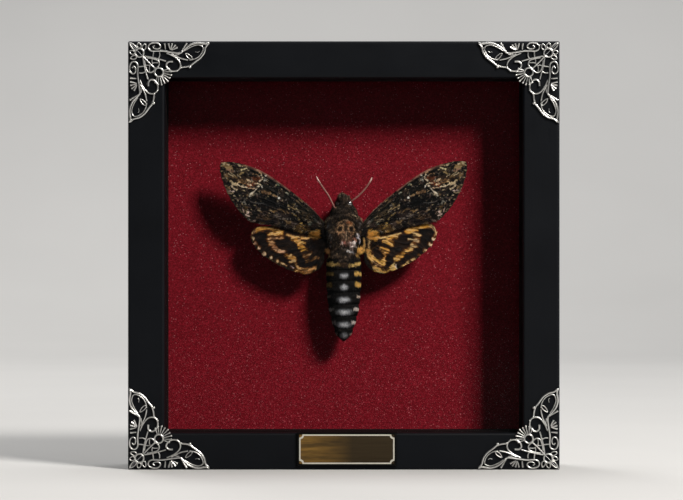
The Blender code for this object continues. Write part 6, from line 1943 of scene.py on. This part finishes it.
def stalk_piece(name, lines, points, sides, ring, depth, look, node):
    sizes = {"Points": points, "Sides": sides, "Ring Length": ring, "Ring Depth": depth, "Look": look}
    made = grow(line_carrier(name + "_lines", lines), stalk_tree, sizes, name)
    move_points(made.data, placed(vertex_rows(made.data)))
    turn_outwards(made)
    made.data.shade_smooth()
    hand_over(made, "horny_brown", node)
    print(name, len(made.data.polygons), "faces")


print("stalk tree:", len(tree.nodes), "nodes")

# %% Horn for antennae, legs and tongue


def horn(name, dark, light, pale_from=None):
    """Brown horn with fine rings, which may turn pale towards a height up the body."""
    made, tree, shader = finish(name, 0.5)
    at = place_of(tree)
    cloud = noise(tree, at, 0.0009, 3.0)
    base = mixed(tree, cloud, tone(*dark), tone(*light))
    if pale_from:
        spot = split(tree, at)
        ragged = maths(tree, "ADD", spot[2], maths(tree, "MULTIPLY", cloud, 0.001))
        base = mixed(tree, mask(tree, ragged, *pale_from), base, tone(232, 190, 180))
    dye(shader, base, mask(tree, cloud, 0.3, 0.7, 0.38, 0.6))
    bumped(tree, shader, noise(tree, at, 0.0002, 3.0), 0.00004, 0.6)
    return made


antenna_horn = horn("antenna_horn", (104, 66, 58), (186, 128, 116), (CENTRE_Z + 0.0345, CENTRE_Z + 0.036))
leg_horn = horn("leg_horn", (44, 28, 20), (96, 66, 44))

# %% Antennae
ANTENNA_PATHS = {
    1: [(1.8, 24.0, 11.8), (2.85, 24.9, 13.0), (4.6, 26.1, 13.7), (6.6, 27.6, 14.1), (8.6, 29.6, 14.3),
        (10.5, 31.8, 14.4), (11.8, 33.7, 14.4), (12.7, 35.2, 14.3), (13.2, 36.6, 14.0)],
    -1: [(-2.4, 21.6, 11.6), (-3.9, 22.0, 13.2), (-4.7, 23.2, 14.0), (-5.8, 25.4, 14.3), (-7.1, 27.9, 14.4),
         (-8.8, 30.4, 14.4), (-10.6, 33.0, 14.4), (-12.0, 35.3, 14.2), (-12.9, 37.1, 13.8)],
}
share = np.linspace(0, 1, 40)
thick = 0.36 + 0.16 * np.sin(math.pi * share * 0.9) + 0.06 * np.exp(-((share - 0.88) / 0.07) ** 2)
thick *= np.clip((1.02 - share) / 0.07, 0.2, 1) * 0.82
for side, sign in SIDES:
    line = (even_spline(ANTENNA_PATHS[sign], 40), False, thick)
    stalk_piece("ringed_antenna_" + side, [line], 220, 14, 0.32, 0.22, antenna_horn, "antenna_" + side)

# %% Legs and tongue
LEG_PATHS = {
    "fore": [(2.4, 15.5, 4.4), (3.2, 16.4, 3.6), (5.2, 18.6, 3.3), (4.6, 20.6, 3.0), (3.6, 23.6, 2.8),
             (2.9, 26.2, 2.5), (2.5, 28.4, 2.3)],
    "mid": [(2.6, 10.4, 4.2), (4.0, 11.2, 3.6), (6.6, 13.2, 3.7), (7.2, 10.8, 3.2), (7.2, 5.6, 2.8),
            (7.2, 1.0, 2.5), (7.2, -3.4, 2.3)],
    "hind": [(2.4, 4.6, 4.2), (3.4, 3.0, 3.4), (5.0, -0.6, 2.4), (5.0, -3.4, 2.0), (4.6, -9.6, 1.7),
             (4.2, -13.8, 1.5), (3.8, -18.0, 1.3)],
}
LEG_THICK = np.array([0.82, 1.0, 0.9, 0.68, 0.5, 0.34, 0.22])


def leg_spikes(path, thick, sign):
    """Paired spurs at the end of the shin and small spines down the foot, with two claws at its tip."""
    lines = []
    for at, length in ((24, 1.9), (31, 0.8), (34, 0.8), (37, 0.7), (40, 0.7), (43, 0.6), (47, 0.9)):
        ahead = path[min(at + 1, len(path) - 1)] - path[at - 1]
        ahead = ahead / np.linalg.norm(ahead)
        for aside in (-1, 1):
            across = np.array([sign * aside * 0.8, 0.0, -0.25])
            root = path[at] + across * thick[at] * 0.5
            tip = root + (ahead * 0.85 + across * 0.55) * length
            tip[2] = max(tip[2], 0.75)
            spots = np.array([root, (root + tip) / 2 + across * 0.08, tip])
            lines.append((spots, False, np.array([0.13, 0.1, 0.03])))
    return lines


share = np.linspace(0, 6, 50)
thick = np.interp(share, range(7), LEG_THICK) * (1 - 0.25 * np.exp(-((share - 2.2) / 0.16) ** 2))
for pair, spots in LEG_PATHS.items():
    for side, sign in SIDES:
        path = even_spline([(sign * x, along, height) for x, along, height in spots], 50)
        node = f"leg_{pair}_{side}"
        stalk_piece("jointed_" + node, [(path, False, thick)], 150, 14, 1.15, 0.14, leg_horn, node)
        stalk_piece("spurs_" + node, leg_spikes(path, thick, sign), 7, 8, 2.0, 0.0, leg_horn, node)
coil = [(0.0, 24.8, 7.6)]
for share in np.linspace(0, 1, 40):
    angle = math.radians(95) + share * 1.45 * 2 * math.pi
    reach = 2.0 - 1.35 * share
    coil.append((0.0, 25.8 + reach * math.cos(angle), 4.1 + reach * math.sin(angle)))
line = (even_spline(coil, 60), False, np.linspace(0.4, 0.24, 60))
stalk_piece("ringed_tongue", [line], 200, 14, 0.35, 0.16, leg_horn, "tongue")

# %% [markdown]
# The frame stands on a pale floor that curves up behind it, as in a small studio, so no horizon shows.
# It is matt, with a faint mottle, and isn't part of the object. Diffuse rays pass it by, so that a
# floor this pale doesn't fill the box with light from below.

# %% Floor and backdrop
paper, tree, shader = finish("studio_paper", 0.9)
cloud = noise(tree, place_of(tree), 0.25, 3.0)
dye(shader, mixed(tree, cloud, tone(206, 205, 203), tone(216, 215, 213)))
bumped(tree, shader, noise(tree, place_of(tree), 0.002, 2.0), 0.0001, 0.3)
profile = [(-2.4, 0.0), (1.3, 0.0)]
profile += [(1.3 + 0.9 * math.sin(a), 0.9 - 0.9 * math.cos(a)) for a in np.linspace(0.08, math.pi / 2, 20)]
profile += [(2.2, 3.0)]
spots = [(x, y, z) for y, z in profile for x in (-2.5, 2.5)]
faces = [(2 * k, 2 * k + 1, 2 * k + 3, 2 * k + 2) for k in range(len(profile) - 1)]
sweep = new_mesh("studio_sweep", spots, faces=faces, look=paper)
sweep.data.shade_smooth()
sweep.visible_diffuse = False
print("floor done")
